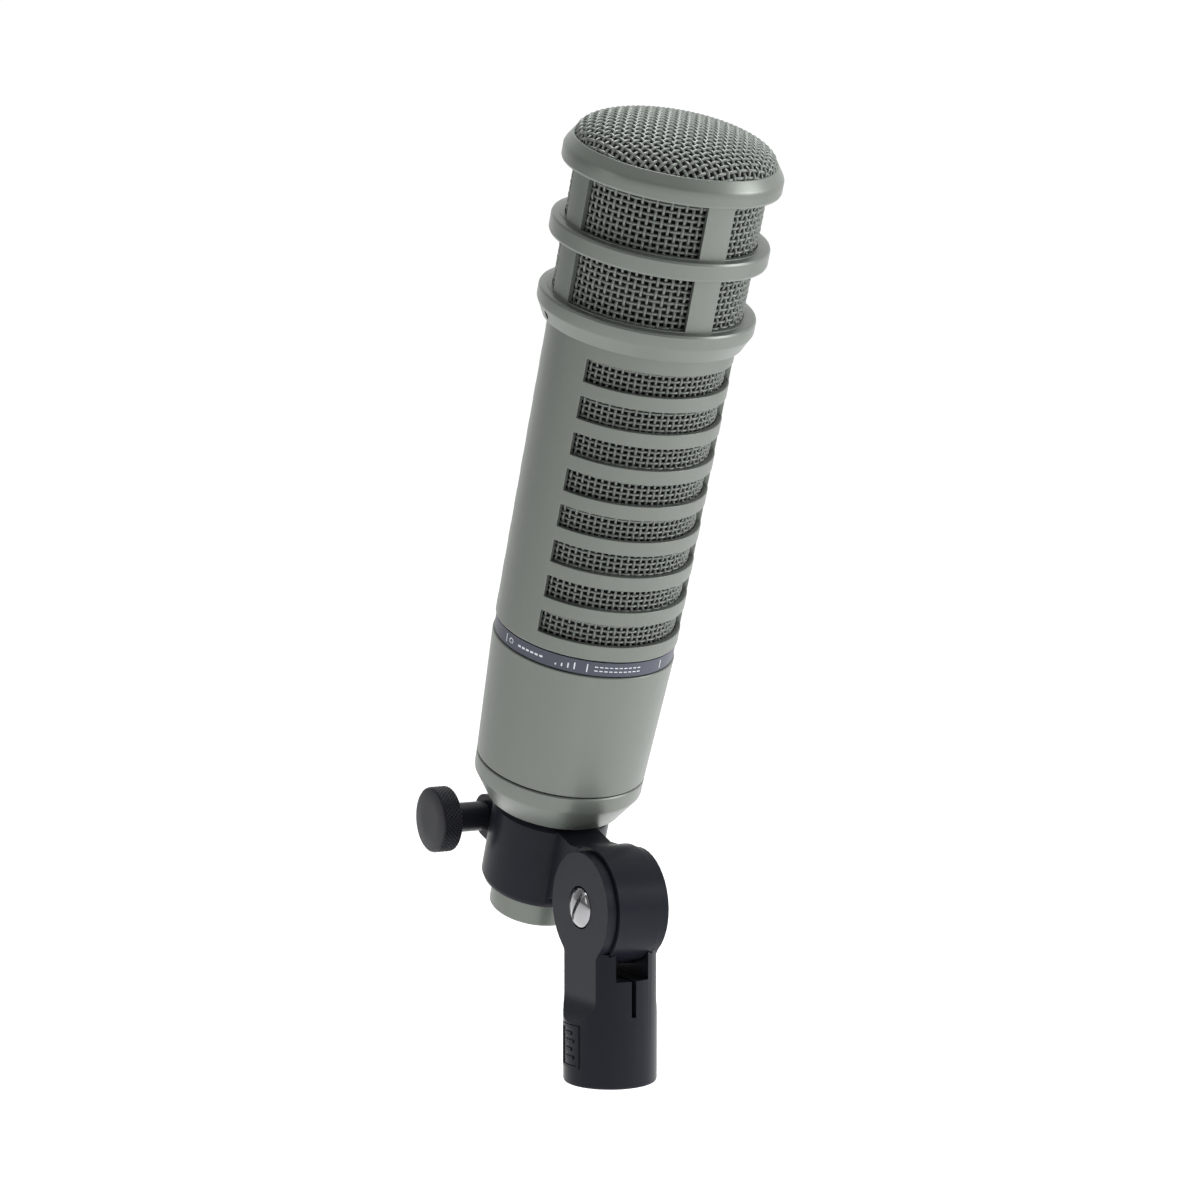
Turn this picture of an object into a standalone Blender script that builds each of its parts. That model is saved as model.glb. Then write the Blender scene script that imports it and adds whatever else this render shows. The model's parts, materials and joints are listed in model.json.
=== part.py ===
"""Moving-coil broadcast microphone in a swivel stand clamp.

World frame: the origin is the middle of the stand adapter's bottom rim, +Z is up the adapter,
and X is the swivel's pivot axis with the slotted screw head at -X. The microphone leans
towards -Y. Sizes are millimetres and are turned into metres when a mesh is made.
"""
import math

import bmesh
import bpy

MM = 0.001
FIT = 0.3                    # air between two pieces that touch on the real object
WELD = 0.002                 # points closer than this are one point

# Microphone, stacked from the tail end upwards
CLAMP_SETBACK = 6.5          # tail end to the clamp ring
CLAMP_HEIGHT = 23.3
TAIL_CLEARANCE = 1.6         # clamp ring to the rear cap
CAP_LENGTH = 11.5
HOUSING_LENGTH = 34.8
BAND_WIDTH = 4.0
BODY_LENGTH = 80.8
COLLAR_LENGTH = 7.6
WINDOW_HEIGHT = 13.3
MID_RING_HEIGHT = 5.0
TOP_RING_HEIGHT = 6.6
DOME_RISE = 7.2

# Microphone radii and walls
BODY_RADIUS = 23.6
BODY_WALL = 1.4
CAGE_WALL = 1.3
BEAD_HEIGHT = 2.0            # how far the three head rings stand out from the cage
HOUSING_TAPER = 1.5
HOUSING_WALL = 1.5
CAP_CHAMFER = 4.3
SPIGOT_WALL = 1.2
TAIL_RADIUS = 11.9
TAIL_WALL = 2.3
GRILLE_THICKNESS = 0.8
DOME_SQUARENESS = 2.2        # 2 would be an ellipse, more is a flatter crown
SET_SCREW_RADIUS = 0.72
SET_SCREW_RISE = 2.0         # collar's lower edge to the head set screws
SET_SCREW_COUNT = 2          # spaced evenly round the collar
SET_SCREW_ANGLE = 173.0      # degrees round the axis from +X to the first of them

# Head windows and body slots
BAR_WIDTH = 7.5
BAR_COUNT = 4
SLOT_COUNT = 8
SLOT_HEIGHT = 5.7
SLOT_HALF_ANGLE = 62.7
SLOT_MARGIN_LOW = 7.2        # band edge to the middle of the first slot
SLOT_MARGIN_HIGH = 7.05

# Capsule, stacked from its front face downwards
CAPSULE_DEPTH = 10.0         # grille rim to the capsule housing's front edge
CAPSULE_RADIUS = 17.5
CAPSULE_WALL = 0.8
PLATE_THICKNESS = 1.2
PLATE_RECESS = 0.9
RING_THICKNESS = 3.0
YOKE_LENGTH = 17.6
YOKE_BASE = 4.7
YOKE_WALL = 2.9
COIL_GAP = 1.8               # radial width of the magnetic gap
COIL_THICKNESS = 0.7
COIL_LENGTH = 2.9
POLE_THICKNESS = 3.0
DIAPHRAGM_THICKNESS = 0.3
DIAPHRAGM_CROWN = 1.5
ACOUSTIC_TUBE_RADIUS = 12.0
ACOUSTIC_TUBE_WALL = 1.0

# Connector and bass switch
CONNECTOR_DEPTH = 17.0
INSERT_THICKNESS = 7.0
PIN_RADIUS = 1.2
PIN_CIRCLE = 3.95
PIN_LENGTH = 23.0
PIN_TAIL = 3.0               # solder end above the insulator
PIN_ANGLES = (180, 0, 270)   # degrees round the axis for pins 1, 2 and 3
SWITCH_RISE = 15.0           # rear seam to the middle of the switch
SWITCH_WIDTH = 6.4
SWITCH_LENGTH = 14.0
SWITCH_TRAVEL = 3.0

# Swivel clamp
TILT = 20.0                  # degrees from vertical at rest
CLAMP_WALL = 3.2
NECK_LENGTH = 4.9
KNUCKLE_RADIUS = 15.15
KNUCKLE_HALF_WIDTH = 6.0
PIVOT_RISE = 13.0            # clamp ring's lower face to the pivot axis
SPLIT_WIDTH = 2.0
LUG_RADIUS = 5.7
LUG_GAP = 2.6                # clamp ring to the lug's axis
LUG_RISE = 11.6
LUG_HALF_WIDTH = 9.0
CLAMP_NUT_RADIUS = 4.1       # across the corners, halved
WASHER_RADIUS = 8.0
WASHER_THICKNESS = 0.6

# Thumb screw and pivot screw
KNOB_RADIUS = 8.7
KNOB_THICKNESS = 5.4
KNOB_REACH = 9.8             # clamp ring's side to the knob's flat face
KNOB_NECK_RADIUS = 3.9
SHANK_RADIUS = 2.0
PIVOT_SHANK_RADIUS = 2.85
PIVOT_HEAD_RADIUS = 5.2
PIVOT_HEAD_HEIGHT = 2.2
PIVOT_NUT_RADIUS = 5.5       # across the corners, halved
SCREW_SLOT = 1.2
SCREW_SLOT_TURN = 35.0       # degrees the slot has stopped at

# Stand adapter
THREAD_RADIUS = 7.94         # 5/8 inch stand thread
INSERT_WALL = 1.6
INSERT_LENGTH = 16.0
ADAPTER_WALL = 2.16
SOCKET_DEPTH = 24.0
WEB_THICKNESS = 5.95
EAR_INSET = 1.05             # how far the knuckle stands out past the ears
EAR_THICKNESS = 2.6
STEM_HALF_WIDTH = 7.7
STEM_FILLET = 4.0
SCOOP_RADIUS = 9.0
SCOOP_HEIGHT = 23.0          # where the flat on the stem starts to run out
NOTCH_HALF_WIDTH = 4.7
NOTCH_DEPTH = 7.1
SLIT_WIDTH = 1.3
SLIT_DEPTH = 9.3

# Heights along the microphone axis, from the tail end
Z_CAP = CLAMP_SETBACK + CLAMP_HEIGHT + TAIL_CLEARANCE
Z_SEAM = Z_CAP + CAP_LENGTH
Z_BAND = Z_SEAM + HOUSING_LENGTH
Z_BODY = Z_BAND + BAND_WIDTH
Z_COLLAR = Z_BODY + BODY_LENGTH
Z_LOW_WINDOW = Z_COLLAR + COLLAR_LENGTH
Z_MID_RING = Z_LOW_WINDOW + WINDOW_HEIGHT
Z_TOP_WINDOW = Z_MID_RING + MID_RING_HEIGHT
Z_TOP_RING = Z_TOP_WINDOW + WINDOW_HEIGHT
Z_RIM = Z_TOP_RING + TOP_RING_HEIGHT
Z_APEX = Z_RIM + DOME_RISE

# Radii that follow from the driving ones
CAGE_BORE = BODY_RADIUS + FIT
CAGE_RADIUS = CAGE_BORE + CAGE_WALL
HEAD_RADIUS = CAGE_RADIUS + BEAD_HEIGHT
RIM_BORE = CAGE_BORE + 1.0
DOME_RADIUS = RIM_BORE - FIT
SEAM_RADIUS = BODY_RADIUS - HOUSING_TAPER
HOUSING_BORE = SEAM_RADIUS - HOUSING_WALL
CLAMP_BORE = TAIL_RADIUS + FIT
CLAMP_RADIUS = CLAMP_BORE + CLAMP_WALL
INSERT_RADIUS = THREAD_RADIUS + INSERT_WALL
ADAPTER_RADIUS = INSERT_RADIUS + FIT + ADAPTER_WALL
LUG_OFFSET = CLAMP_RADIUS + LUG_GAP
KNOB_FACE = CLAMP_RADIUS + KNOB_REACH
POCKET_RADIUS = KNUCKLE_RADIUS + FIT
EAR_RADIUS = KNUCKLE_RADIUS - EAR_INSET
FORK_SLOT = KNUCKLE_HALF_WIDTH + FIT
FORK_HALF_WIDTH = FORK_SLOT + EAR_THICKNESS
PIVOT_HEIGHT = SOCKET_DEPTH + WEB_THICKNESS + POCKET_RADIUS
AXIS_OFFSET = KNUCKLE_RADIUS + NECK_LENGTH + CLAMP_RADIUS
SHOULDER = PIVOT_HEIGHT - math.sqrt(POCKET_RADIUS ** 2 - ADAPTER_RADIUS ** 2) - 1.0

# Facets round a large, a middling and a small turned piece
LARGE = 48
MIDDLING = 32
SMALL = 16

LOOKS = {                    # colour, roughness, metallic
    "fawn_paint": ((0.215, 0.235, 0.205), 0.42, 0.35),
    "mesh_steel": ((0.36, 0.37, 0.34), 0.38, 0.85),
    "slate_paint": ((0.045, 0.06, 0.085), 0.5, 0.0),
    "black_plastic": ((0.014, 0.015, 0.02), 0.42, 0.0),
    "chrome": ((0.62, 0.62, 0.63), 0.12, 1.0),
    "steel": ((0.42, 0.42, 0.43), 0.32, 1.0),
    "brass": ((0.55, 0.40, 0.17), 0.3, 1.0),
    "gold": ((0.75, 0.56, 0.25), 0.25, 1.0),
    "copper": ((0.55, 0.22, 0.10), 0.35, 1.0),
    "magnet": ((0.13, 0.13, 0.14), 0.4, 0.8),
    "foam": ((0.03, 0.03, 0.032), 0.95, 0.0),
    "rubber": ((0.02, 0.02, 0.021), 0.8, 0.0),
    "film": ((0.62, 0.58, 0.46), 0.3, 0.0),
    "board": ((0.03, 0.13, 0.07), 0.5, 0.0),
    "lead_red": ((0.40, 0.03, 0.03), 0.5, 0.0),
    "lead_black": ((0.015, 0.015, 0.015), 0.5, 0.0),
}


# ---------------------------------------------------------------- tools

def material(look):
    """The Principled material of that name, made the first time it is asked for."""
    if look in bpy.data.materials:
        return bpy.data.materials[look]
    colour, roughness, metallic = LOOKS[look]
    made = bpy.data.materials.new(look)
    made.use_nodes = True
    shader = made.node_tree.nodes["Principled BSDF"]
    shader.inputs["Base Color"].default_value = (*colour, 1.0)
    shader.inputs["Roughness"].default_value = roughness
    shader.inputs["Metallic"].default_value = metallic
    return made


def frame(name, parent=None, location=(0, 0, 0), tilt=0.0):
    """An empty that carries pieces; its X axis is a joint axis where something turns."""
    empty = bpy.data.objects.new(name, None)
    bpy.context.collection.objects.link(empty)
    empty.parent = parent
    empty.location = [v * MM for v in location]
    empty.rotation_euler = (math.radians(tilt), 0, 0)
    return empty


def finish(bm, name, look, parent):
    """Turn millimetre geometry into a placed object with its material."""
    bmesh.ops.scale(bm, vec=(MM, MM, MM), verts=bm.verts)
    bmesh.ops.recalc_face_normals(bm, faces=bm.faces)
    mesh = bpy.data.meshes.new(name)
    bm.to_mesh(mesh)
    bm.free()
    mesh.shade_smooth()
    mesh.set_sharp_from_angle(angle=math.radians(30))
    made = bpy.data.objects.new(name, mesh)
    bpy.context.collection.objects.link(made)
    made.parent = parent
    if look:
        mesh.materials.append(material(look))
    else:
        made.hide_render = True
        made.display_type = "WIRE"
    return made


def turned(name, outline, look, parent, steps=LARGE):
    """A lathe-turned solid about Z from (radius, height) points.

    The outline is closed, except that it may start and end on the axis.
    """
    bm = bmesh.new()
    points = [bm.verts.new((r, 0, z)) for r, z in outline]
    edges = [bm.edges.new(pair) for pair in zip(points, points[1:])]
    if outline[0][0] > 0:
        edges.append(bm.edges.new((points[-1], points[0])))
    bmesh.ops.spin(bm, geom=points + edges, axis=(0, 0, 1), cent=(0, 0, 0),
                   angle=math.tau, steps=steps)
    bmesh.ops.remove_doubles(bm, verts=bm.verts, dist=WELD)
    return finish(bm, name, look, parent)


def tube(name, inner, outer, low, high, look, parent, steps=LARGE):
    """A plain ring or tube about Z."""
    outline = [(inner, low), (outer, low), (outer, high), (inner, high)]
    return turned(name, outline, look, parent, steps)


def disc(name, radius, low, high, look, parent, steps=MIDDLING):
    """A plain solid cylinder about Z."""
    return turned(name, [(0, low), (radius, low), (radius, high), (0, high)], look, parent, steps)


def box(name, low, high, look, parent):
    """A block between two corners."""
    bm = bmesh.new()
    bmesh.ops.create_cube(bm, size=1)
    for vert in bm.verts:
        vert.co = [lo + (hi - lo) * (c + 0.5) for lo, hi, c in zip(low, high, vert.co)]
    return finish(bm, name, look, parent)


def prism(name, outline, half_width, look, parent, centre=0.0):
    """A (y, z) outline extruded along X, half_width each side of centre."""
    bm = bmesh.new()
    points = [bm.verts.new((centre - half_width, y, z)) for y, z in outline]
    face = bm.faces.new(points)
    extruded = bmesh.ops.extrude_face_region(bm, geom=[face])["geom"]
    moved = [v for v in extruded if isinstance(v, bmesh.types.BMVert)]
    bmesh.ops.translate(bm, vec=(2 * half_width, 0, 0), verts=moved)
    return finish(bm, name, look, parent)


def cross_rod(name, radius, low, high, look, parent, y=0.0, z=0.0, steps=SMALL):
    """A cylinder along X from low to high."""
    outline = circle(y, z, radius, steps)
    return prism(name, outline, (high - low) / 2, look, parent, (low + high) / 2)


def sectors(name, inner, outer, spans, starts, parent, steps):
    """Cutter of ring sectors: spans are (low, high) heights, starts are (from, to) degrees."""
    bm = bmesh.new()
    for low, high in spans:
        for begin, end in starts:
            turn = math.radians(end - begin)
            a = math.radians(begin)
            corners = [(inner, low), (outer, low), (outer, high), (inner, high)]
            first = [bm.verts.new((r * math.cos(a), r * math.sin(a), z)) for r, z in corners]
            edges = [bm.edges.new((first[i], first[(i + 1) % 4])) for i in range(4)]
            spun = bmesh.ops.spin(bm, geom=first + edges, axis=(0, 0, 1), cent=(0, 0, 0),
                                  angle=turn, steps=steps)
            last = [e for e in spun["geom_last"] if isinstance(e, bmesh.types.BMEdge)]
            bmesh.ops.holes_fill(bm, edges=edges, sides=4)
            bmesh.ops.holes_fill(bm, edges=last, sides=4)
    return finish(bm, name, None, parent)


def boolean(target, other, operation="DIFFERENCE"):
    """Add an exact Boolean of that kind to the target."""
    modifier = target.modifiers.new(other.name, "BOOLEAN")
    modifier.operation = operation
    modifier.object = other
    modifier.solver = "EXACT"


def circle(y, z, radius, steps, begin=0.0, end=360.0):
    """Points of a circle, or of an arc that includes both ends."""
    whole = end - begin >= 360.0
    count = steps if whole else steps + 1
    angles = [math.radians(begin + (end - begin) * i / steps) for i in range(count)]
    return [(y + radius * math.cos(a), z + radius * math.sin(a)) for a in angles]


def lead(name, route, look, parent, radius=0.6):
    """An insulated wire as a round tube through smooth points of its route."""
    curve = bpy.data.curves.new(name, "CURVE")
    curve.dimensions = "3D"
    curve.bevel_depth = radius * MM
    curve.bevel_resolution = 2
    curve.use_fill_caps = True
    points = smooth_route(route, 4)
    spline = curve.splines.new("POLY")
    spline.points.add(len(points) - 1)
    for point, place in zip(spline.points, points):
        point.co = (*(v * MM for v in place), 1.0)
    made = bpy.data.objects.new(name, curve)
    bpy.context.collection.objects.link(made)
    made.parent = parent
    curve.materials.append(material(look))
    return made


def smooth_route(route, per_span):
    """Catmull-Rom points through the route's own points."""
    ends = [route[0]] + list(route) + [route[-1]]
    points = []
    for p0, p1, p2, p3 in zip(ends, ends[1:], ends[2:], ends[3:]):
        for step in range(per_span):
            t = step / per_span
            points.append([0.5 * (2 * b + (c - a) * t + (2 * a - 5 * b + 4 * c - d) * t * t
                                  + (3 * b - a - 3 * c + d) * t ** 3)
                           for a, b, c, d in zip(p0, p1, p2, p3)])
    points.append(list(route[-1]))
    return points


# ---------------------------------------------------------------- microphone head

def bead(low, high):
    """Outer outline of one rounded head ring between two heights."""
    return [(CAGE_RADIUS, low), (HEAD_RADIUS - 0.5, low + 0.3), (HEAD_RADIUS, low + 0.9),
            (HEAD_RADIUS, high - 0.9), (HEAD_RADIUS - 0.5, high - 0.3), (CAGE_RADIUS, high)]


def head_cage(mic):
    """Turned head casting: cone collar, three rings and four bars around eight windows."""
    outline = [(CAGE_BORE, Z_COLLAR), (CAGE_RADIUS, Z_COLLAR),
               (HEAD_RADIUS - 0.3, Z_COLLAR + 3.5), (HEAD_RADIUS, Z_COLLAR + 4.1)]
    outline += bead(Z_COLLAR, Z_LOW_WINDOW)[3:]
    outline += bead(Z_MID_RING, Z_TOP_WINDOW)
    outline += bead(Z_TOP_RING, Z_RIM)[:3]
    outline += [(HEAD_RADIUS, Z_RIM - 3.0), (HEAD_RADIUS - 0.4, Z_RIM - 2.1),
                (RIM_BORE + 0.4, Z_RIM), (RIM_BORE, Z_RIM),
                (RIM_BORE, Z_TOP_RING + 2.2), (CAGE_BORE, Z_TOP_RING + 2.2)]
    cage = turned("head_cage", outline, "fawn_paint", mic)
    half_bar = math.degrees(BAR_WIDTH / 2 / CAGE_RADIUS)
    step = 360.0 / BAR_COUNT
    starts = [(step * i + half_bar, step * (i + 1) - half_bar) for i in range(BAR_COUNT)]
    spans = [(Z_LOW_WINDOW + 0.2, Z_MID_RING - 0.2), (Z_TOP_WINDOW + 0.2, Z_TOP_RING - 0.2)]
    boolean(cage, sectors("window_cutter", CAGE_BORE - 2, HEAD_RADIUS + 2, spans, starts, mic, 5))
    head_screws(mic, cage)


def head_screws(mic, cage):
    """The set screws that pinch the head on the body, in holes through the cone collar."""
    height = Z_COLLAR + SET_SCREW_RISE
    for number in range(SET_SCREW_COUNT):
        angle = math.radians(SET_SCREW_ANGLE + 360.0 / SET_SCREW_COUNT * number)
        for kind, radius, near, far, look in (
                ("hole", SET_SCREW_RADIUS + FIT, CAGE_BORE - 1, HEAD_RADIUS + 1, None),
                ("screw", SET_SCREW_RADIUS, CAGE_BORE + 0.1, CAGE_RADIUS, "steel")):
            made = disc(f"head_{kind}_{number + 1}", radius, near, far, look, mic, SMALL)
            made.location = (0, 0, height * MM)
            made.rotation_euler = (0, math.radians(90), angle)
            if kind == "hole":
                boolean(cage, made)


def dome_height(radius, dome_radius, rise):
    """Height of the grille's crown above its skirt at that radius."""
    share = min(radius / dome_radius, 1.0)
    return rise * (1 - share ** DOME_SQUARENESS) ** (1 / 2)


def dome_outline(dome_radius, base, rise, steps=8):
    """Crown points from the rim to the axis, closer together at the shoulder."""
    points = []
    for i in range(steps + 1):
        radius = dome_radius * math.cos(math.radians(90.0 * i / steps))
        radius = 0.0 if i == steps else radius
        points.append((radius, base + dome_height(radius, dome_radius, rise)))
    return points


def grille(mic):
    """Woven wire dome and the woven wire cylinder behind the head windows."""
    skirt = Z_TOP_RING + 2.2 + FIT
    inner = DOME_RADIUS - GRILLE_THICKNESS
    outside = dome_outline(DOME_RADIUS, Z_RIM, DOME_RISE)
    inside = dome_outline(inner, Z_RIM, DOME_RISE - GRILLE_THICKNESS)
    outline = [(DOME_RADIUS, skirt)] + outside
    turned("grille_dome", outline[::-1] + [(inner, skirt)] + inside, "mesh_steel", mic)
    outer = CAGE_BORE - FIT
    tube("head_mesh", outer - GRILLE_THICKNESS, outer, Z_COLLAR + 4.1, skirt - 2 * FIT,
         "mesh_steel", mic)


def head_foam(mic):
    """Blast-filter foam cup over and around the capsule."""
    outer = CAGE_BORE - 2 * FIT - GRILLE_THICKNESS
    inner = CAPSULE_RADIUS + FIT
    low = Z_RIM - CAPSULE_DEPTH - 18.3
    top = dome_outline(outer - 0.6, Z_RIM - 1.2, DOME_RISE - GRILLE_THICKNESS - 1.5, 5)
    under = Z_RIM - CAPSULE_DEPTH + 1.2
    outline = [(0, under), (inner, under), (inner, low), (outer, low), (outer, Z_RIM - 5.0)]
    turned("head_foam", outline + top, "foam", mic)


# ---------------------------------------------------------------- capsule

def capsule(mic):
    """Moving-coil capsule: housing, magnet circuit, diaphragm and voice coil."""
    front = Z_RIM - CAPSULE_DEPTH
    plate_low = front - PLATE_RECESS - PLATE_THICKNESS
    ring_low = plate_low - FIT - RING_THICKNESS
    yoke_top = ring_low - FIT
    yoke_low = yoke_top - YOKE_LENGTH
    bore = CAPSULE_RADIUS - CAPSULE_WALL
    yoke_radius = bore - FIT
    gap_outer = yoke_radius - YOKE_WALL
    pole_radius = gap_outer - COIL_GAP
    housing_low = yoke_low - 3.0
    tube_radius = ACOUSTIC_TUBE_RADIUS

    housing = [(tube_radius, housing_low), (CAPSULE_RADIUS, housing_low), (CAPSULE_RADIUS, front),
               (bore, front), (bore, yoke_low - FIT), (tube_radius, yoke_low - FIT)]
    turned("capsule_housing", housing, "black_plastic", mic)
    yoke = [(0, yoke_low), (yoke_radius, yoke_low), (yoke_radius, yoke_top),
            (gap_outer, yoke_top), (gap_outer, yoke_low + YOKE_BASE), (0, yoke_low + YOKE_BASE)]
    turned("magnet_yoke", yoke, "steel", mic, MIDDLING)
    magnet_low = yoke_low + YOKE_BASE + FIT
    pole_low = yoke_top - POLE_THICKNESS
    disc("magnet", pole_radius - 0.7, magnet_low, pole_low - FIT, "magnet", mic)
    disc("pole_piece", pole_radius, pole_low, yoke_top, "steel", mic)
    tube("diaphragm_ring", yoke_radius - 1.1, yoke_radius, ring_low, plate_low - FIT,
         "brass", mic, MIDDLING)

    plate = disc("resonator_plate", yoke_radius, plate_low, plate_low + PLATE_THICKNESS,
                 "steel", mic)
    for number in range(7):
        reach = 0.0 if number == 0 else 9.0
        hole = disc(f"plate_hole_{number}", 2.2, plate_low - 1, plate_low + 3, None, mic, SMALL)
        angle = math.radians(60.0 * number)
        hole.location = (reach * math.cos(angle) * MM, reach * math.sin(angle) * MM, 0)
        boolean(plate, hole)

    moving = frame("moving_coil_frame", mic)
    coil_radius = pole_radius + (COIL_GAP - COIL_THICKNESS) / 2
    rim = yoke_top + 1.0
    tube("voice_coil", coil_radius, coil_radius + COIL_THICKNESS, rim - FIT - COIL_LENGTH,
         rim - FIT, "copper", moving, MIDDLING)
    film = [(coil_radius * i / 4, rim + DIAPHRAGM_CROWN * math.cos(math.radians(22.5 * i)))
            for i in range(5)]
    edge = yoke_radius - 1.1 - FIT
    under = film + [(edge, rim)]
    over = [(r, z + DIAPHRAGM_THICKNESS) for r, z in under]
    turned("diaphragm", under + over[::-1], "film", moving, MIDDLING)

    coil_low = housing_low - 6.0
    tube("hum_coil", tube_radius + FIT, tube_radius + 4.0, coil_low, housing_low - 0.5,
         "copper", mic, MIDDLING)
    rear_shock_low = Z_BODY + 4.3
    tube("acoustic_tube", tube_radius - ACOUSTIC_TUBE_WALL, tube_radius, rear_shock_low - 2.0,
         housing_low - FIT, "black_plastic", mic, MIDDLING)
    mesh_inner = CAGE_BORE - FIT - GRILLE_THICKNESS
    tube("front_shock_mount", CAPSULE_RADIUS + FIT, mesh_inner - FIT, housing_low + 1.5,
         housing_low + 7.5, "rubber", mic, MIDDLING)
    lining = BODY_RADIUS - BODY_WALL - FIT
    tube("rear_shock_mount", tube_radius + FIT, lining - 0.5 - FIT, rear_shock_low,
         rear_shock_low + 5.0, "rubber", mic, MIDDLING)
    tube("slot_foam", CAPSULE_RADIUS - 0.5, lining - 0.5 - FIT, rear_shock_low + 6.0,
         Z_COLLAR - 2.5, "foam", mic, MIDDLING)
    tube("slot_mesh", lining - 0.5, lining, Z_BODY + 3.0, Z_COLLAR - 1.5, "mesh_steel", mic)
    return housing_low, rear_shock_low


# ---------------------------------------------------------------- body and rear end

def body_tube(mic):
    """Slotted body tube with a spigot that screws into the rear housing."""
    spigot = BODY_RADIUS - 1.8
    bore = BODY_RADIUS - BODY_WALL
    low = Z_BODY + FIT / 2
    outline = [(spigot - SPIGOT_WALL, Z_BAND - 5.5), (spigot, Z_BAND - 5.5), (spigot, low),
               (BODY_RADIUS, low), (BODY_RADIUS, Z_COLLAR + 3.5), (bore, Z_COLLAR + 3.5),
               (bore, low + 2.2), (spigot - SPIGOT_WALL, low + 2.2)]
    body = turned("body_tube", outline, "fawn_paint", mic)
    first = Z_BODY + SLOT_MARGIN_LOW
    pitch = (BODY_LENGTH - SLOT_MARGIN_LOW - SLOT_MARGIN_HIGH) / (SLOT_COUNT - 1)
    middles = [first + pitch * i for i in range(SLOT_COUNT)]
    spans = [(m - SLOT_HEIGHT / 2, m + SLOT_HEIGHT / 2) for m in middles]
    starts = [(side - SLOT_HALF_ANGLE, side + SLOT_HALF_ANGLE) for side in (-90, 90)]
    boolean(body, sectors("slot_cutter", bore - 1, BODY_RADIUS + 1, spans, starts, mic, 7))
    tube("label_band", spigot + FIT, BODY_RADIUS - 0.35, Z_BAND + FIT / 2, Z_BODY - FIT / 2,
         "slate_paint", mic)


def rear_end(mic):
    """Tapered rear housing, chamfered cap and the tail tube that the clamp grips."""
    spigot_bore = BODY_RADIUS - 1.8 + FIT
    low = Z_SEAM + FIT / 2
    high = Z_BAND - FIT / 2
    housing = [(HOUSING_BORE, low), (SEAM_RADIUS, low), (BODY_RADIUS, high), (spigot_bore, high),
               (spigot_bore, Z_BAND - 5.5 - FIT), (HOUSING_BORE, Z_BAND - 5.5 - FIT)]
    rear = turned("rear_housing", housing, "fawn_paint", mic)
    half = SWITCH_WIDTH / 2
    middle = Z_SEAM + SWITCH_RISE
    boolean(rear, box("switch_cutter", (-half, HOUSING_BORE - 4, middle - SWITCH_LENGTH / 2),
                      (half, BODY_RADIUS + 2, middle + SWITCH_LENGTH / 2), None, mic))

    cap_end = SEAM_RADIUS - CAP_CHAMFER
    spigot = HOUSING_BORE - FIT
    hole = TAIL_RADIUS + FIT
    flange = TAIL_RADIUS + 3.4
    top = Z_SEAM - FIT / 2
    floor = Z_CAP + 3.2
    cap = [(hole, Z_CAP), (cap_end - 0.9, Z_CAP), (cap_end, Z_CAP + 0.6),
           (SEAM_RADIUS - 0.1, top - 4.3), (SEAM_RADIUS, top), (spigot, top), (spigot, top + 6),
           (spigot - SPIGOT_WALL, top + 6), (spigot - SPIGOT_WALL, top - 2),
           (flange + FIT, floor), (hole, floor)]
    turned("rear_cap", cap, "fawn_paint", mic)
    bore = TAIL_RADIUS - TAIL_WALL
    tail = [(bore, 0.5), (bore + 0.5, 0), (TAIL_RADIUS - 0.5, 0), (TAIL_RADIUS, 0.5),
            (TAIL_RADIUS, floor + FIT), (flange, floor + FIT), (flange, floor + FIT + 2),
            (bore, floor + FIT + 2)]
    turned("tail_tube", tail, "fawn_paint", mic)


def connector(mic):
    """Three-pin male connector: insulator and pins, the middle pin nearest the front."""
    bore = TAIL_RADIUS - TAIL_WALL
    low = CONNECTOR_DEPTH
    insert = disc("connector_insert", bore - FIT, low, low + INSERT_THICKNESS, "black_plastic",
                  mic)
    for number, angle in enumerate(PIN_ANGLES):
        x = PIN_CIRCLE * math.cos(math.radians(angle)) * MM
        y = PIN_CIRCLE * math.sin(math.radians(angle)) * MM
        hole = disc(f"pin_hole_{number + 1}", PIN_RADIUS + FIT, low - 1,
                    low + INSERT_THICKNESS + 1, None, mic, SMALL)
        hole.location = (x, y, 0)
        boolean(insert, hole)
        pin_low = low + INSERT_THICKNESS + PIN_TAIL - PIN_LENGTH
        tip = [(0, pin_low), (0.5, pin_low), (PIN_RADIUS, pin_low + 1.0),
               (PIN_RADIUS, pin_low + PIN_LENGTH), (0, pin_low + PIN_LENGTH)]
        pin = turned(f"connector_pin_{number + 1}", tip, "gold", mic, SMALL)
        pin.location = (x, y, 0)


def bass_switch(mic):
    """Recessed two-position slide switch in the rear housing, on the side away from the front."""
    middle = Z_SEAM + SWITCH_RISE
    half = SWITCH_WIDTH / 2 - FIT
    reach = SWITCH_LENGTH / 2 - FIT
    plate = box("bass_switch_plate", (-half, HOUSING_BORE, middle - reach),
                (half, HOUSING_BORE + 0.9, middle + reach), "black_plastic", mic)
    stem = 1.0
    low = middle - SWITCH_TRAVEL / 2 - stem
    high = middle + SWITCH_TRAVEL / 2 + stem
    boolean(plate, box("stem_cutter", (-1.0, HOUSING_BORE - 1, low - FIT),
                       (1.0, HOUSING_BORE + 2, high + FIT), None, mic))
    slide = frame("bass_switch_frame", mic, (0, HOUSING_BORE, middle - SWITCH_TRAVEL / 2))
    slider = box("bass_switch_slider", (-1.7, 1.2, -2.2), (1.7, 2.0, 2.2), "black_plastic", slide)
    boolean(slider, box("slider_stem", (-0.7, -0.6, -stem), (0.7, 1.6, stem), None, slide),
            "UNION")
    box("bass_switch_body", (-3.0, HOUSING_BORE - 4.6, middle - 6),
        (3.0, HOUSING_BORE - 0.9, middle + 6), "black_plastic", mic)


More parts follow.
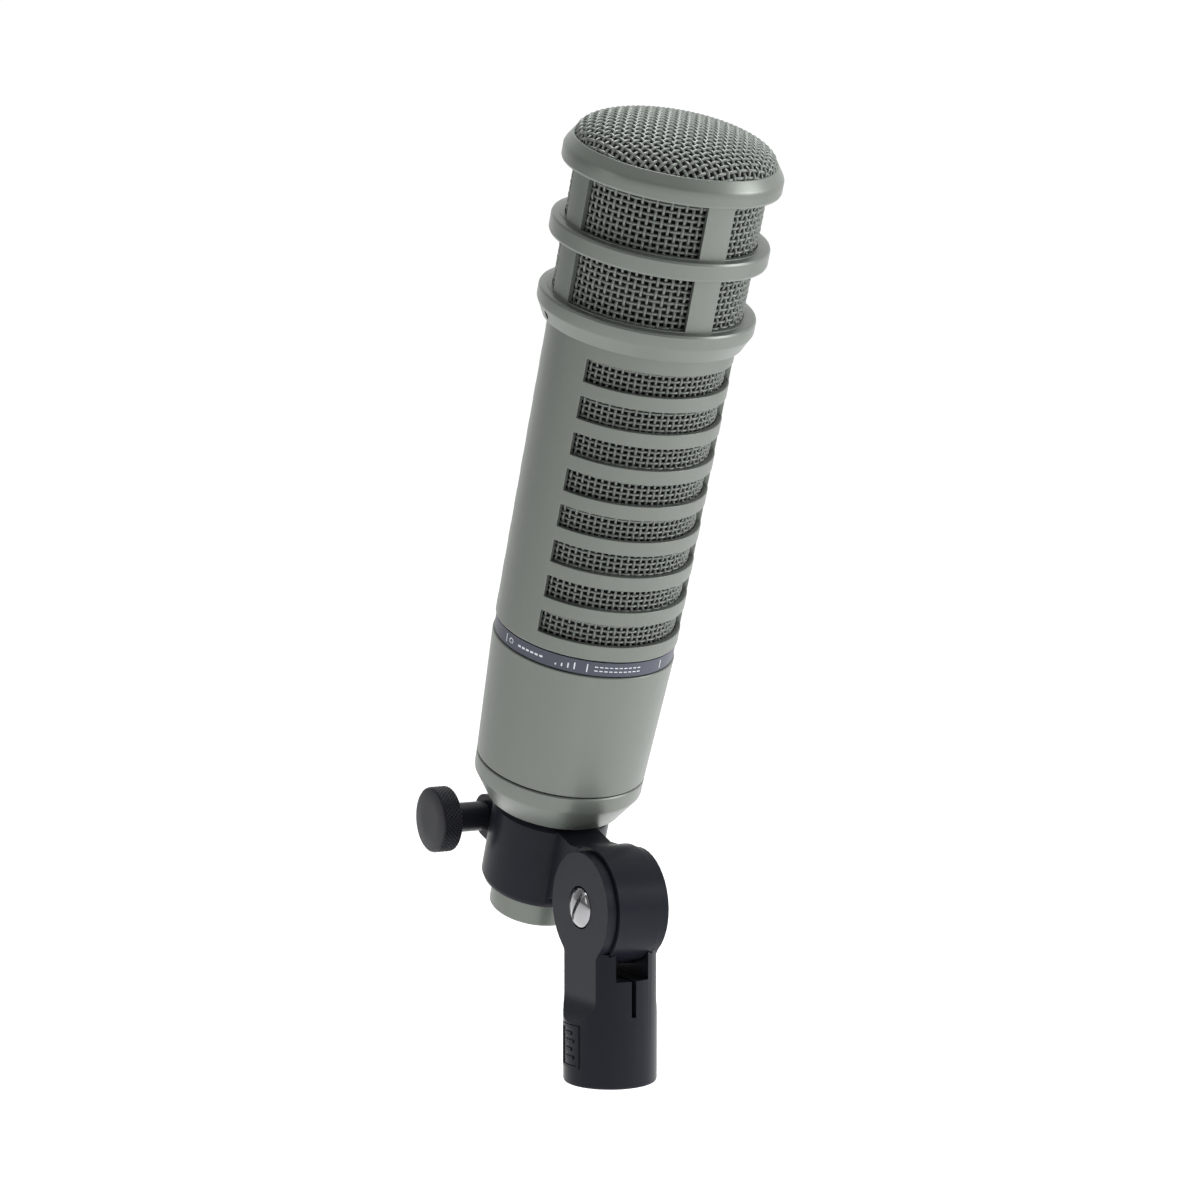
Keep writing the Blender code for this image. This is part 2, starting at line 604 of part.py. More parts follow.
def electronics(mic, capsule_low, tube_low):
    """Output transformer, bass-filter board and the leads between capsule and connector."""
    low = Z_SEAM + 12.0
    high = low + 18.0
    front = -12.0
    back = -3.0
    core = box("transformer_core", (-10, front, low), (10, back, high), "steel", mic)
    for side in (-1, 1):
        edges = sorted((3.0 * side, 7.0 * side))
        window = box(f"core_window_{side + 1}", (edges[0], front - 1, low + 3),
                     (edges[1], back + 1, high - 3), None, mic)
        boolean(core, window)
    winding = box("transformer_winding", (-7 + FIT, front - 3, low + 3 + FIT),
                  (7 - FIT, back + 3, high - 3 - FIT), "copper", mic)
    boolean(winding, box("winding_bore", (-3 - FIT, front - FIT, low), (3 + FIT, back + FIT, high),
                         None, mic))
    board = 3.0
    box("filter_board", (-10, board, Z_SEAM + 8), (10, board + 1.2, Z_SEAM + 30), "board", mic)
    for name, radius, length, x, look in (("filter_choke", 4.5, 6.5, -4.8, "magnet"),
                                          ("filter_capacitor", 3.0, 5.0, 4.8, "lead_red")):
        part = disc(name, radius, 0, length, look, mic, SMALL)
        part.location = (x * MM, (board + 1.2 + FIT) * MM, (Z_SEAM + 24) * MM)
        part.rotation_euler = (math.radians(-90), 0, 0)

    for number, side in enumerate((-1, 1)):
        route = [(5.0 * side, 0, capsule_low + 2.4), (5.0 * side, 0, capsule_low - 8),
                 (4.0 * side, 1.5, tube_low + 40), (4.5 * side, -1.0, tube_low + 15),
                 (4.5 * side, -1.5, tube_low - 4), (4.2 * side, -5.0, high + 3),
                 (4.2 * side, -7.0, high + 0.6 + FIT)]
        lead(f"capsule_lead_{number + 1}", route, ("lead_red", "lead_black")[number], mic)
    pin_top = CONNECTOR_DEPTH + INSERT_THICKNESS + PIN_TAIL
    for number, angle in enumerate(PIN_ANGLES):
        x = PIN_CIRCLE * math.cos(math.radians(angle))
        y = PIN_CIRCLE * math.sin(math.radians(angle))
        route = [(x, y, pin_top + FIT), (x, y, pin_top + 6), (x * 1.3, y * 0.4 - 0.5, Z_SEAM + 2),
                 (x * 1.5, board + 0.6 - 2.5 * (number == 2), Z_SEAM + 5),
                 (x * 1.5, board + 0.6, Z_SEAM + 8 - FIT)]
        look = ("lead_black", "lead_red", "film")[number]
        lead(f"output_lead_{number + 1}", route, look, mic)


# ---------------------------------------------------------------- swivel clamp

def clamp_body(pivot):
    """Split ring, neck and knuckle moulded in one piece, with pockets for nut and washers."""
    ring_low = -PIVOT_RISE
    ring_high = ring_low + CLAMP_HEIGHT
    knuckle = prism("clamp_body", circle(0, 0, KNUCKLE_RADIUS, LARGE), KNUCKLE_HALF_WIDTH,
                    "black_plastic", pivot)
    solid = [(0, ring_low), (CLAMP_RADIUS - 2.2, ring_low), (CLAMP_RADIUS - 0.9, ring_low + 0.7),
             (CLAMP_RADIUS, ring_low + 2.4), (CLAMP_RADIUS, ring_high - 0.8),
             (CLAMP_RADIUS - 0.8, ring_high), (0, ring_high)]
    ring = turned("clamp_ring", solid, None, pivot)
    ring.location = (0, AXIS_OFFSET * MM, 0)
    boolean(knuckle, ring, "UNION")

    wall = AXIS_OFFSET - CLAMP_RADIUS
    under = KNUCKLE_RADIUS * math.sin(math.radians(-21))
    neck = [(KNUCKLE_RADIUS * 0.5, under + 1), (KNUCKLE_RADIUS * 0.86, under),
            (wall + 2.0, ring_low + 3.5), (wall + 5.0, ring_low + 3.5),
            (wall + 5.0, ring_high - 0.2), (KNUCKLE_RADIUS * 0.94, ring_high - 0.2),
            (KNUCKLE_RADIUS * 0.58, KNUCKLE_RADIUS * 0.79), (KNUCKLE_RADIUS * 0.4, under + 4)]
    boolean(knuckle, prism("clamp_neck", neck, KNUCKLE_HALF_WIDTH - 0.05, None, pivot), "UNION")

    lug_y = AXIS_OFFSET + LUG_OFFSET
    lug_z = ring_low + LUG_RISE
    outline = circle(lug_y, lug_z, LUG_RADIUS, 18, -90, 90)
    outline += [(AXIS_OFFSET + CLAMP_BORE - 2, lug_z + LUG_RADIUS),
                (AXIS_OFFSET + CLAMP_BORE - 2, lug_z - LUG_RADIUS)]
    boolean(knuckle, prism("clamp_lugs", outline, LUG_HALF_WIDTH, None, pivot), "UNION")

    bore = disc("clamp_bore", CLAMP_BORE, ring_low - 2, ring_high + 2, None, pivot, LARGE + 4)
    bore.location = (0, AXIS_OFFSET * MM, 0)
    boolean(knuckle, bore)
    boolean(knuckle, box("clamp_split", (-SPLIT_WIDTH / 2, AXIS_OFFSET + CLAMP_BORE / 2, ring_low - 2),
                         (SPLIT_WIDTH / 2, lug_y + LUG_RADIUS + 2, ring_high + 2), None, pivot))
    boolean(knuckle, cross_rod("lug_hole", SHANK_RADIUS + FIT, -LUG_HALF_WIDTH - 1,
                               LUG_HALF_WIDTH + 1, None, pivot, lug_y, lug_z))
    nut_pocket = circle(lug_y, lug_z, CLAMP_NUT_RADIUS + FIT, 6)
    boolean(knuckle, prism("nut_pocket", nut_pocket, 3.0, None, pivot, LUG_HALF_WIDTH - 1.0))
    boolean(knuckle, cross_rod("pivot_hole", PIVOT_SHANK_RADIUS + FIT, -KNUCKLE_HALF_WIDTH - 1,
                               KNUCKLE_HALF_WIDTH + 1, None, pivot))
    depth = WASHER_THICKNESS + FIT
    for side, name in ((-1, "left"), (1, "right")):
        face = side * KNUCKLE_HALF_WIDTH
        ends = sorted((face - side * depth, face + side))
        boolean(knuckle, cross_rod(f"washer_pocket_{name}", WASHER_RADIUS + FIT, *ends, None,
                                   pivot, steps=MIDDLING))
        ends = sorted((face - side * WASHER_THICKNESS, face))
        washer = cross_rod(f"friction_washer_{name}", WASHER_RADIUS, *ends, "rubber", pivot,
                           steps=MIDDLING)
        boolean(washer, cross_rod(f"washer_hole_{name}", PIVOT_SHANK_RADIUS + FIT,
                                  ends[0] - 1, ends[1] + 1, None, pivot))

    nut = prism("clamp_nut", circle(lug_y, lug_z, CLAMP_NUT_RADIUS, 6), 1.5, "steel", pivot,
                LUG_HALF_WIDTH - 2.2)
    boolean(nut, cross_rod("clamp_nut_bore", SHANK_RADIUS + FIT, 0, LUG_HALF_WIDTH + 2, None,
                           pivot, lug_y, lug_z))
    return lug_y, lug_z


def thumb_screw(pivot, lug_y, lug_z):
    """Knurled plastic knob moulded on a steel screw; it draws the two lugs together."""
    axis = frame("thumb_screw_frame", pivot, (0, lug_y, lug_z))
    back = -KNOB_FACE + KNOB_THICKNESS
    near = -LUG_HALF_WIDTH - FIT
    blind = SHANK_RADIUS + FIT
    outline = [(0, -KNOB_FACE), (KNOB_RADIUS - 0.6, -KNOB_FACE), (KNOB_RADIUS, -KNOB_FACE + 0.6),
               (KNOB_RADIUS, back - 1.2), (KNOB_RADIUS - 1.2, back), (KNOB_NECK_RADIUS, back + 0.6),
               (KNOB_NECK_RADIUS, near), (blind, near), (blind, -KNOB_FACE + 2.0),
               (0, -KNOB_FACE + 2.0)]
    knob = turned("thumb_screw_knob", outline, "black_plastic", axis, MIDDLING)
    knob.rotation_euler = (0, math.radians(90), 0)
    shank = disc("thumb_screw_shank", SHANK_RADIUS, -KNOB_FACE + 2.0 + FIT, LUG_HALF_WIDTH - 0.4,
                 "steel", axis, SMALL)
    shank.rotation_euler = (0, math.radians(90), 0)


# ---------------------------------------------------------------- stand adapter

def ear_outline():
    """Round ear on a straight stem, blended by a fillet on both sides, in (y, z)."""
    reach = STEM_HALF_WIDTH + STEM_FILLET
    drop = math.sqrt((EAR_RADIUS + STEM_FILLET) ** 2 - reach ** 2)
    lean = math.degrees(math.atan2(drop, reach))
    fillet = circle(reach, PIVOT_HEIGHT - drop, STEM_FILLET, 6, 180, 180 - lean)
    ear = circle(0, PIVOT_HEIGHT, EAR_RADIUS, MIDDLING, -lean, 180 + lean)
    foot = INSERT_LENGTH + 2.0 + FIT
    right = [(STEM_HALF_WIDTH, foot)] + fillet
    left = [(-y, z) for y, z in reversed(right)]
    return right + ear[1:-1] + left


def stand_adapter():
    """Moulded fork on a socket: ears for the knuckle above, threaded stand socket below."""
    bore = INSERT_RADIUS + FIT
    chamfer = 0.9
    seat_top = INSERT_LENGTH + 1.0 + FIT
    outline = [(0, seat_top), (bore, seat_top), (bore, 0), (ADAPTER_RADIUS - chamfer, 0),
               (ADAPTER_RADIUS - 0.25, 0.3), (ADAPTER_RADIUS, chamfer),
               (ADAPTER_RADIUS, SHOULDER), (0, SHOULDER)]
    adapter = turned("stand_adapter", outline, "black_plastic", None)
    boolean(adapter, prism("fork_ears", ear_outline(), FORK_HALF_WIDTH, None, None), "UNION")

    inside = disc("socket_room", THREAD_RADIUS + FIT, seat_top - 3, SOCKET_DEPTH, None, None, LARGE)
    boolean(adapter, inside)
    pocket_bottom = PIVOT_HEIGHT - POCKET_RADIUS
    boolean(adapter, cross_rod("knuckle_pocket", POCKET_RADIUS, -FORK_SLOT, FORK_SLOT, None, None,
                               0, PIVOT_HEIGHT, LARGE))
    for side in (-1, 1):
        arc = circle(FORK_HALF_WIDTH + SCOOP_RADIUS, SCOOP_HEIGHT, SCOOP_RADIUS, 10, 180, 250)
        outline = arc + [(ADAPTER_RADIUS + 4, SCOOP_HEIGHT - 6), (ADAPTER_RADIUS + 4, SHOULDER + 4),
                         (FORK_HALF_WIDTH, SHOULDER + 4)]
        scoop = prism(f"scoop_cutter_{side + 1}", outline, ADAPTER_RADIUS + 2, None, None)
        scoop.rotation_euler = (0, 0, math.radians(90 * side))
        boolean(adapter, scoop)
    boolean(adapter, box("notch_cutter", (-NOTCH_HALF_WIDTH, -ADAPTER_RADIUS - 2,
                                          SHOULDER - NOTCH_DEPTH),
                         (NOTCH_HALF_WIDTH, ADAPTER_RADIUS + 2, pocket_bottom + 8), None, None))
    boolean(adapter, box("slit_cutter", (-SLIT_WIDTH / 2, -ADAPTER_RADIUS - 2,
                                         SHOULDER - NOTCH_DEPTH - SLIT_DEPTH),
                         (SLIT_WIDTH / 2, ADAPTER_RADIUS + 2, SHOULDER - NOTCH_DEPTH + 1),
                         None, None))
    boolean(adapter, cross_rod("ear_hole", PIVOT_SHANK_RADIUS + FIT, -FORK_HALF_WIDTH - 1,
                               FORK_HALF_WIDTH + 1, None, None, 0, PIVOT_HEIGHT))
    seat = FORK_HALF_WIDTH - 1.1
    boolean(adapter, cross_rod("head_seat", PIVOT_HEAD_RADIUS + FIT, -FORK_HALF_WIDTH - 1, -seat,
                               None, None, 0, PIVOT_HEIGHT, MIDDLING))
    hexagon = circle(0, PIVOT_HEIGHT, PIVOT_NUT_RADIUS + FIT, 6)
    boolean(adapter, prism("hex_seat", hexagon, 1.0, None, None, seat + 1.0))
    pivot_hardware(seat)
    tube("thread_insert", THREAD_RADIUS, INSERT_RADIUS, 0.5, INSERT_LENGTH, "brass", None)


def pivot_hardware(seat):
    """Slotted pivot screw through fork and knuckle, and the hex nut on its far end."""
    axis = frame("pivot_screw_frame", None, (0, 0, PIVOT_HEIGHT))
    under = seat + FIT
    crown = under + PIVOT_HEAD_HEIGHT
    far = under + 2.6
    outline = [(0, -crown), (PIVOT_HEAD_RADIUS * 0.55, -crown + 0.1),
               (PIVOT_HEAD_RADIUS - 0.5, -crown + 0.55), (PIVOT_HEAD_RADIUS, -crown + 1.0),
               (PIVOT_HEAD_RADIUS, -under), (PIVOT_SHANK_RADIUS, -under),
               (PIVOT_SHANK_RADIUS, far - 0.5), (PIVOT_SHANK_RADIUS - 0.5, far), (0, far)]
    screw = turned("pivot_screw", outline, "chrome", axis, 24)
    screw.rotation_euler = (0, math.radians(90), 0)
    slot = box("screw_slot", (-crown - 1, -SCREW_SLOT / 2, -PIVOT_HEAD_RADIUS - 1),
               (-crown + 0.95, SCREW_SLOT / 2, PIVOT_HEAD_RADIUS + 1), None, axis)
    slot.rotation_euler = (math.radians(SCREW_SLOT_TURN), 0, 0)
    boolean(screw, slot)
    nut = prism("pivot_nut", circle(0, 0, PIVOT_NUT_RADIUS, 6), 1.4, "steel", None, under + 1.4)
    nut.location = (0, 0, PIVOT_HEIGHT * MM)
    boolean(nut, cross_rod("pivot_nut_bore", PIVOT_SHANK_RADIUS + FIT, under - 1, under + 5, None,
                           None, 0, PIVOT_HEIGHT))


def build():
    """Clear the scene, then make the microphone, its clamp and the stand adapter."""
    for old in list(bpy.data.objects):
        bpy.data.objects.remove(old)
    pivot = frame("pivot_frame", None, (0, 0, PIVOT_HEIGHT), TILT)
    mic = frame("microphone_frame", pivot, (0, AXIS_OFFSET, -PIVOT_RISE - CLAMP_SETBACK))
    head_cage(mic)
    grille(mic)
    head_foam(mic)
    capsule_low, tube_low = capsule(mic)
    body_tube(mic)
    rear_end(mic)
    connector(mic)
    bass_switch(mic)
    electronics(mic, capsule_low, tube_low)
    lug_y, lug_z = clamp_body(pivot)
    thumb_screw(pivot, lug_y, lug_z)
    stand_adapter()


build()
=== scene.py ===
"""Large-diaphragm broadcast microphone in its swivel stand clamp.

The script dresses the fixed CAD frame. Meshes are worked out in millimetres, in the frame of the
axis that they are turned about, and are then placed.
"""
import json
import math

import bmesh
import bpy
import numpy as np
from mathutils import Matrix, Vector


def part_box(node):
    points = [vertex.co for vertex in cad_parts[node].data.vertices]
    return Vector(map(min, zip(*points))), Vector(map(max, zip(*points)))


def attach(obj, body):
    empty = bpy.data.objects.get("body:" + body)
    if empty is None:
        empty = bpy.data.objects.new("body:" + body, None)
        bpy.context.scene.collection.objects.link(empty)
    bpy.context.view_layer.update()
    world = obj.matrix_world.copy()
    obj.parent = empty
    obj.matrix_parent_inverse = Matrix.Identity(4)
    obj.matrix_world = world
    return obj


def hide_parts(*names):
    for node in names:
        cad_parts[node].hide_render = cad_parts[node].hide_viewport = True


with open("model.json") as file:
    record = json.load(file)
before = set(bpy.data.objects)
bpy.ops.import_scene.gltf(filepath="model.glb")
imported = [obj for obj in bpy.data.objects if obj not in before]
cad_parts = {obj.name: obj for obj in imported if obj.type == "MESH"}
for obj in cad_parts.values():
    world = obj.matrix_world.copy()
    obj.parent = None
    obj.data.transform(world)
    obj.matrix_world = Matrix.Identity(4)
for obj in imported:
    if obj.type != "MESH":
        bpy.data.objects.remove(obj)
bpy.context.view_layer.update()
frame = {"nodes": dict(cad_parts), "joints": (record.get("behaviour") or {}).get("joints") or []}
nodes = frame["nodes"]
joints = {joint["name"]: joint for joint in frame["joints"]}
MM = 0.001


# ---------------------------------------------------------------- stand, light and camera
# A pale matt table top, well under the clamp because a stand holds it up, and a white surround
# that is dimmer at one side of the room, with a soft lamp on each side and one above.
def softbox(name, place, aim, size, power):
    """A square lamp at place, turned to face aim, in metres."""
    lamp = bpy.data.lights.new(name, "AREA")
    lamp.size = size
    lamp.energy = power
    made = bpy.data.objects.new(name, lamp)
    bpy.context.scene.collection.objects.link(made)
    made.location = place
    made.rotation_euler = (Vector(aim) - Vector(place)).to_track_quat("-Z", "Y").to_euler()


table = bpy.data.meshes.new("table_top")
table_reach, table_drop = 6.0, 0.1
table_corners = [(x * table_reach, y * table_reach, 0)
                 for x, y in ((-1, -1), (1, -1), (1, 1), (-1, 1))]
table.from_pydata(table_corners, [], [(0, 1, 2, 3)])
table_top = bpy.data.objects.new("table_top", table)
table_top.location = (0, 0, -table_drop)
bpy.context.scene.collection.objects.link(table_top)
pale_white, table_glow = 0.97, 0.40
pale = bpy.data.materials.new("pale_table")
pale.use_nodes = True
pale_shader = pale.node_tree.nodes["Principled BSDF"]
pale_shader.inputs["Base Color"].default_value = (pale_white, pale_white, pale_white, 1)
pale_shader.inputs["Roughness"].default_value = 0.9
pale_shader.inputs["Specular IOR Level"].default_value = 0.1
pale_shader.inputs["Emission Color"].default_value = (1, 1, 1, 1)
pale_shader.inputs["Emission Strength"].default_value = table_glow
table.materials.append(pale)

dim_side = (-0.95, -0.30, 0.0)
fade_from, fade_to = -0.35, 0.45
bright, dimmed = 1.03, 0.32
surround = bpy.data.worlds.new("white_surround")
surround.use_nodes = True
sky = surround.node_tree
sky.nodes["Background"].inputs["Color"].default_value = (1, 1, 1, 1)
toward = sky.nodes.new("ShaderNodeTexCoord")
facing = sky.nodes.new("ShaderNodeVectorMath")
facing.operation = "DOT_PRODUCT"
facing.inputs[1].default_value = dim_side
sky.links.new(toward.outputs["Generated"], facing.inputs[0])
dim = sky.nodes.new("ShaderNodeMapRange")
dim.interpolation_type = "SMOOTHSTEP"
dim.inputs["From Min"].default_value = fade_from
dim.inputs["From Max"].default_value = fade_to
dim.inputs["To Min"].default_value = bright
dim.inputs["To Max"].default_value = dimmed
sky.links.new(facing.outputs["Value"], dim.inputs["Value"])
sky.links.new(dim.outputs["Result"], sky.nodes["Background"].inputs["Strength"])
bpy.context.scene.world = surround
bpy.context.scene.view_settings.view_transform = "Standard"

aim_point = (0, 0, 0.13)
softbox("lamp_right", (0.80, -0.62, 0.40), aim_point, size=0.45, power=5.5)
softbox("lamp_left", (-1.0, 0.10, 0.35), aim_point, size=0.35, power=0.6)
softbox("lamp_top", (0.05, -0.10, 1.0), aim_point, size=0.4, power=8.0)

azimuth, elevation, roll = (math.radians(v) for v in (-30.21, 4.90, 0.04))
away = Vector((math.sin(azimuth) * math.cos(elevation), -math.cos(azimuth) * math.cos(elevation),
               math.sin(elevation)))
level = Vector((math.cos(azimuth), math.sin(azimuth), 0))
upward = away.cross(level)
right = math.cos(roll) * level + math.sin(roll) * upward
up = math.cos(roll) * upward - math.sin(roll) * level
distance, aside, lower = 0.85729, 0.00263, 0.00688
eye = Vector(aim_point) - aside * level - lower * upward + distance * away
film_width, focal_length, farthest = 36, 102, 20
lens = bpy.data.cameras.new("camera")
lens.sensor_width = film_width
lens.lens = focal_length
lens.clip_end = farthest
camera = bpy.data.objects.new("camera", lens)
bpy.context.scene.collection.objects.link(camera)
camera.matrix_world = Matrix(((right.x, up.x, away.x, eye.x), (right.y, up.y, away.y, eye.y),
                              (right.z, up.z, away.z, eye.z), (0, 0, 0, 1)))
bpy.context.scene.camera = camera


# ---------------------------------------------------------------- stand adapter
# One moulding in black glass-filled plastic: a fork for the knuckle above a socket that holds a
# pressed-in brass thread. It keeps the CAD shape, with its moulded edges rounded.
def finish(name, colour, shade, roughness, metallic=0.0, grain=600, stretch=(1, 1, 1), depth=0.02,
           lean=0.0, specular=0.5):
    """Material with slow colour drift between two tones, varied gloss and a fine surface grain.

    grain is bumps per metre, stretch scales it along each axis after a turn of lean about X, and
    depth is the grain's height in millimetres.
    """
    patches, patch_detail, patch_from, patch_to = 45, 5, 0.3, 0.7
    grain_detail, gloss_swing, bump_strength = 3, 0.05, 0.35
    made = bpy.data.materials.new(name)
    made.use_nodes = True
    tree = made.node_tree
    shader = tree.nodes["Principled BSDF"]
    shader.inputs["Metallic"].default_value = metallic
    shader.inputs["Specular IOR Level"].default_value = specular
    place = tree.nodes.new("ShaderNodeTexCoord")
    turn = tree.nodes.new("ShaderNodeMapping")
    turn.inputs["Rotation"].default_value = (-lean, 0, 0)
    tree.links.new(place.outputs["Object"], turn.inputs["Vector"])
    squash = tree.nodes.new("ShaderNodeMapping")
    squash.inputs["Scale"].default_value = stretch
    tree.links.new(turn.outputs["Vector"], squash.inputs["Vector"])

    drift = tree.nodes.new("ShaderNodeTexNoise")
    drift.inputs["Scale"].default_value = patches
    drift.inputs["Detail"].default_value = patch_detail
    tree.links.new(squash.outputs["Vector"], drift.inputs["Vector"])
    tone = tree.nodes.new("ShaderNodeValToRGB")
    tone.color_ramp.elements[0].position = patch_from
    tone.color_ramp.elements[1].position = patch_to
    tone.color_ramp.elements[0].color = (*shade, 1)
    tone.color_ramp.elements[1].color = (*colour, 1)
    tree.links.new(drift.outputs["Fac"], tone.inputs["Fac"])
    tree.links.new(tone.outputs["Color"], shader.inputs["Base Color"])

    fine = tree.nodes.new("ShaderNodeTexNoise")
    fine.inputs["Scale"].default_value = grain
    fine.inputs["Detail"].default_value = grain_detail
    tree.links.new(squash.outputs["Vector"], fine.inputs["Vector"])
    gloss = tree.nodes.new("ShaderNodeMapRange")
    gloss.inputs["To Min"].default_value = roughness - gloss_swing
    gloss.inputs["To Max"].default_value = roughness + gloss_swing
    tree.links.new(fine.outputs["Fac"], gloss.inputs["Value"])
    tree.links.new(gloss.outputs["Result"], shader.inputs["Roughness"])
    bump = tree.nodes.new("ShaderNodeBump")
    bump.inputs["Strength"].default_value = bump_strength
    bump.inputs["Distance"].default_value = depth * MM
    tree.links.new(fine.outputs["Fac"], bump.inputs["Height"])
    tree.links.new(bump.outputs["Normal"], shader.inputs["Normal"])
    return made


def round_edges(piece, edge, sharp):
    """Round a piece's edges by edge millimetres, with its flats shaded by their own faces."""
    rounding = piece.modifiers.new("rounding", "BEVEL")
    rounding.width = edge * MM
    rounding.segments = 2
    rounding.limit_method = "ANGLE"
    rounding.angle_limit = math.radians(sharp)
    by_area = piece.modifiers.new("even_shading", "WEIGHTED_NORMAL")
    by_area.weight = 100


def dress(name, material, edge=0.0, sharp=32):
    """Give a CAD node its material, smooth its curves and round its edges by edge millimetres."""
    node = nodes[name]
    node.data.materials.clear()
    node.data.materials.append(material)
    node.data.polygons.foreach_set("material_index", [0] * len(node.data.polygons))
    node.data.shade_smooth()
    seam_width = 0.000002
    weld = node.modifiers.new("weld", "WELD")
    weld.merge_threshold = seam_width
    if edge:
        round_edges(node, edge, sharp)
    else:
        split = node.modifiers.new("crisp", "EDGE_SPLIT")
        split.split_angle = math.radians(sharp)


black_plastic = finish("black_plastic", (0.0120, 0.0130, 0.0190), (0.010, 0.0108, 0.0155), 0.30,
                       grain=1500, depth=0.012, specular=0.09)
brass = finish("turned_brass", (0.60, 0.43, 0.18), (0.50, 0.35, 0.14), 0.3, metallic=1.0,
               grain=900, stretch=(1, 1, 6))
dress("stand_adapter", black_plastic, edge=0.35)
dress("thread_insert", brass)


def solid(name, points, faces, place, material, body, edge=0.0, sharp=35, smooth=True):
    """A new piece from millimetre points and faces, placed, finished and riding on its body."""
    mesh = bpy.data.meshes.new(name)
    mesh.from_pydata([tuple(p) for p in points], [], faces)
    mesh.transform(place @ Matrix.Scale(MM, 4))
    joined = bmesh.new()
    joined.from_mesh(mesh)
    bmesh.ops.remove_doubles(joined, verts=joined.verts, dist=0.000001)
    bmesh.ops.recalc_face_normals(joined, faces=joined.faces)
    joined.to_mesh(mesh)
    joined.free()
    if smooth:
        mesh.shade_smooth()
        mesh.set_sharp_from_angle(angle=math.radians(sharp))
    mesh.materials.append(material)
    made = bpy.data.objects.new(name, mesh)
    bpy.context.scene.collection.objects.link(made)
    if edge:
        round_edges(made, edge, sharp)
    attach(made, body)
    return made


def curved_bars(bars, inner, outer):
    """Closed curved blocks on a round wall: each bar is from, to in degrees and low, high."""
    points, faces = [], []
    widest_step = 3
    for begin, end, low, high in bars:
        steps = max(2, int(abs(end - begin) / widest_step) + 1)
        first = len(points)
        for i in range(steps + 1):
            a = math.radians(begin + (end - begin) * i / steps)
            for r, z in ((inner, low), (outer, low), (outer, high), (inner, high)):
                points.append((r * math.cos(a), r * math.sin(a), z))
        for i in range(steps):
            here, there = first + 4 * i, first + 4 * i + 4
            for k in range(4):
                n = (k + 1) % 4
                faces.append((here + k, here + n, there + n, there + k))
        last = first + 4 * steps
        faces.append((first, first + 3, first + 2, first + 1))
        faces.append((last, last + 1, last + 2, last + 3))
    return points, faces


# A raised moulder's frame with plain ribs stands on the socket's side.
badge_middle, badge_half, rib_half = -180.0, 19.0, 9
badge_low, badge_high, rail, post, rib = 4.7, 15.1, 0.7, 3.2, 0.8
badge_left, badge_right = badge_middle - badge_half, badge_middle + badge_half
badge = [(badge_left, badge_right, z, z + rail) for z in (badge_low, badge_high)]
badge += [(a, a + post, 5.4, badge_high) for a in (badge_left, badge_right - post)]
badge += [(badge_middle - rib_half, badge_middle + rib_half - 4 * (i % 2), z, z + rib)
          for i, z in enumerate((7.0, 9.1, 11.2, 13.2))]
badge_inner, badge_outer = 11.8, 12.28
points, faces = curved_bars(badge, badge_inner, badge_outer)
solid("adapter_badge", points, faces, Matrix.Identity(4), black_plastic,
      "stand_adapter", smooth=False)


# ---------------------------------------------------------------- pivot screw and nut
# Chromed cheese-head screw through the fork and knuckle, with a slot for a screwdriver, and a
# plated hex nut let into the far ear.
def lathe(outline, facets, closed=True):
    """Points and faces turned about Z from (radius, height) points."""
    points, faces = [], []
    rows, on_axis = len(outline), 1e-6
    for j in range(facets):
        a = math.tau * j / facets
        points += [(r * math.cos(a), r * math.sin(a), z) for r, z in outline]
    for j in range(facets):
        here, there = rows * j, rows * ((j + 1) % facets)
        for i in range(rows if closed else rows - 1):
            n = (i + 1) % rows
            corners = [here + i, there + i, there + n, here + n]
            if outline[i][0] < on_axis:
                corners.remove(there + i)
            if outline[n][0] < on_axis:
                corners.remove(there + n)
            if len(corners) > 2:
                faces.append(corners)
    return points, faces


chrome = finish("chrome", (0.31, 0.31, 0.32), (0.25, 0.25, 0.26), 0.12, metallic=1.0, grain=2500,
                depth=0.004)
steel = finish("plated_steel", (0.50, 0.50, 0.50), (0.38, 0.38, 0.39), 0.3, metallic=1.0,
               grain=1200, depth=0.008)
pivot = Vector(joints["swivel_tilt"]["pos_m"])
# the lathe's Z axis laid along -X, so that heights grow towards the screw's head
sideways = Matrix.Rotation(math.radians(-90), 4, "Y")
outward = Matrix.Translation(pivot) @ sideways
screw_low, screw_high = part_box("pivot_screw")
crown = -screw_low.x / MM
tip = -screw_high.x / MM
screw_head, screw_shank, head_height, tip_bevel = 5.2, 2.85, 2.2, 0.5
# radius, and drop below the crown, down the domed top of the head
domed = [(0, 0), (1.2, 0.05), (2.4, 0.2), (3.6, 0.48), (4.5, 0.84), (5.0, 1.15), (screw_head, 1.5)]
outline = [(r, crown - drop) for r, drop in domed]
outline += [(screw_head, crown - head_height), (screw_shank, crown - head_height),
            (screw_shank, tip + tip_bevel), (screw_shank - tip_bevel, tip), (0, tip)]
points, faces = lathe(outline, 72, closed=False)
screw = solid("pivot_screw_head", points, faces, outward, chrome, "pivot_screw")
cut_half, cut_depth, cut_reach, cut_turn, cut_edge = 0.6, 1.15, 7.0, 55, 0.12


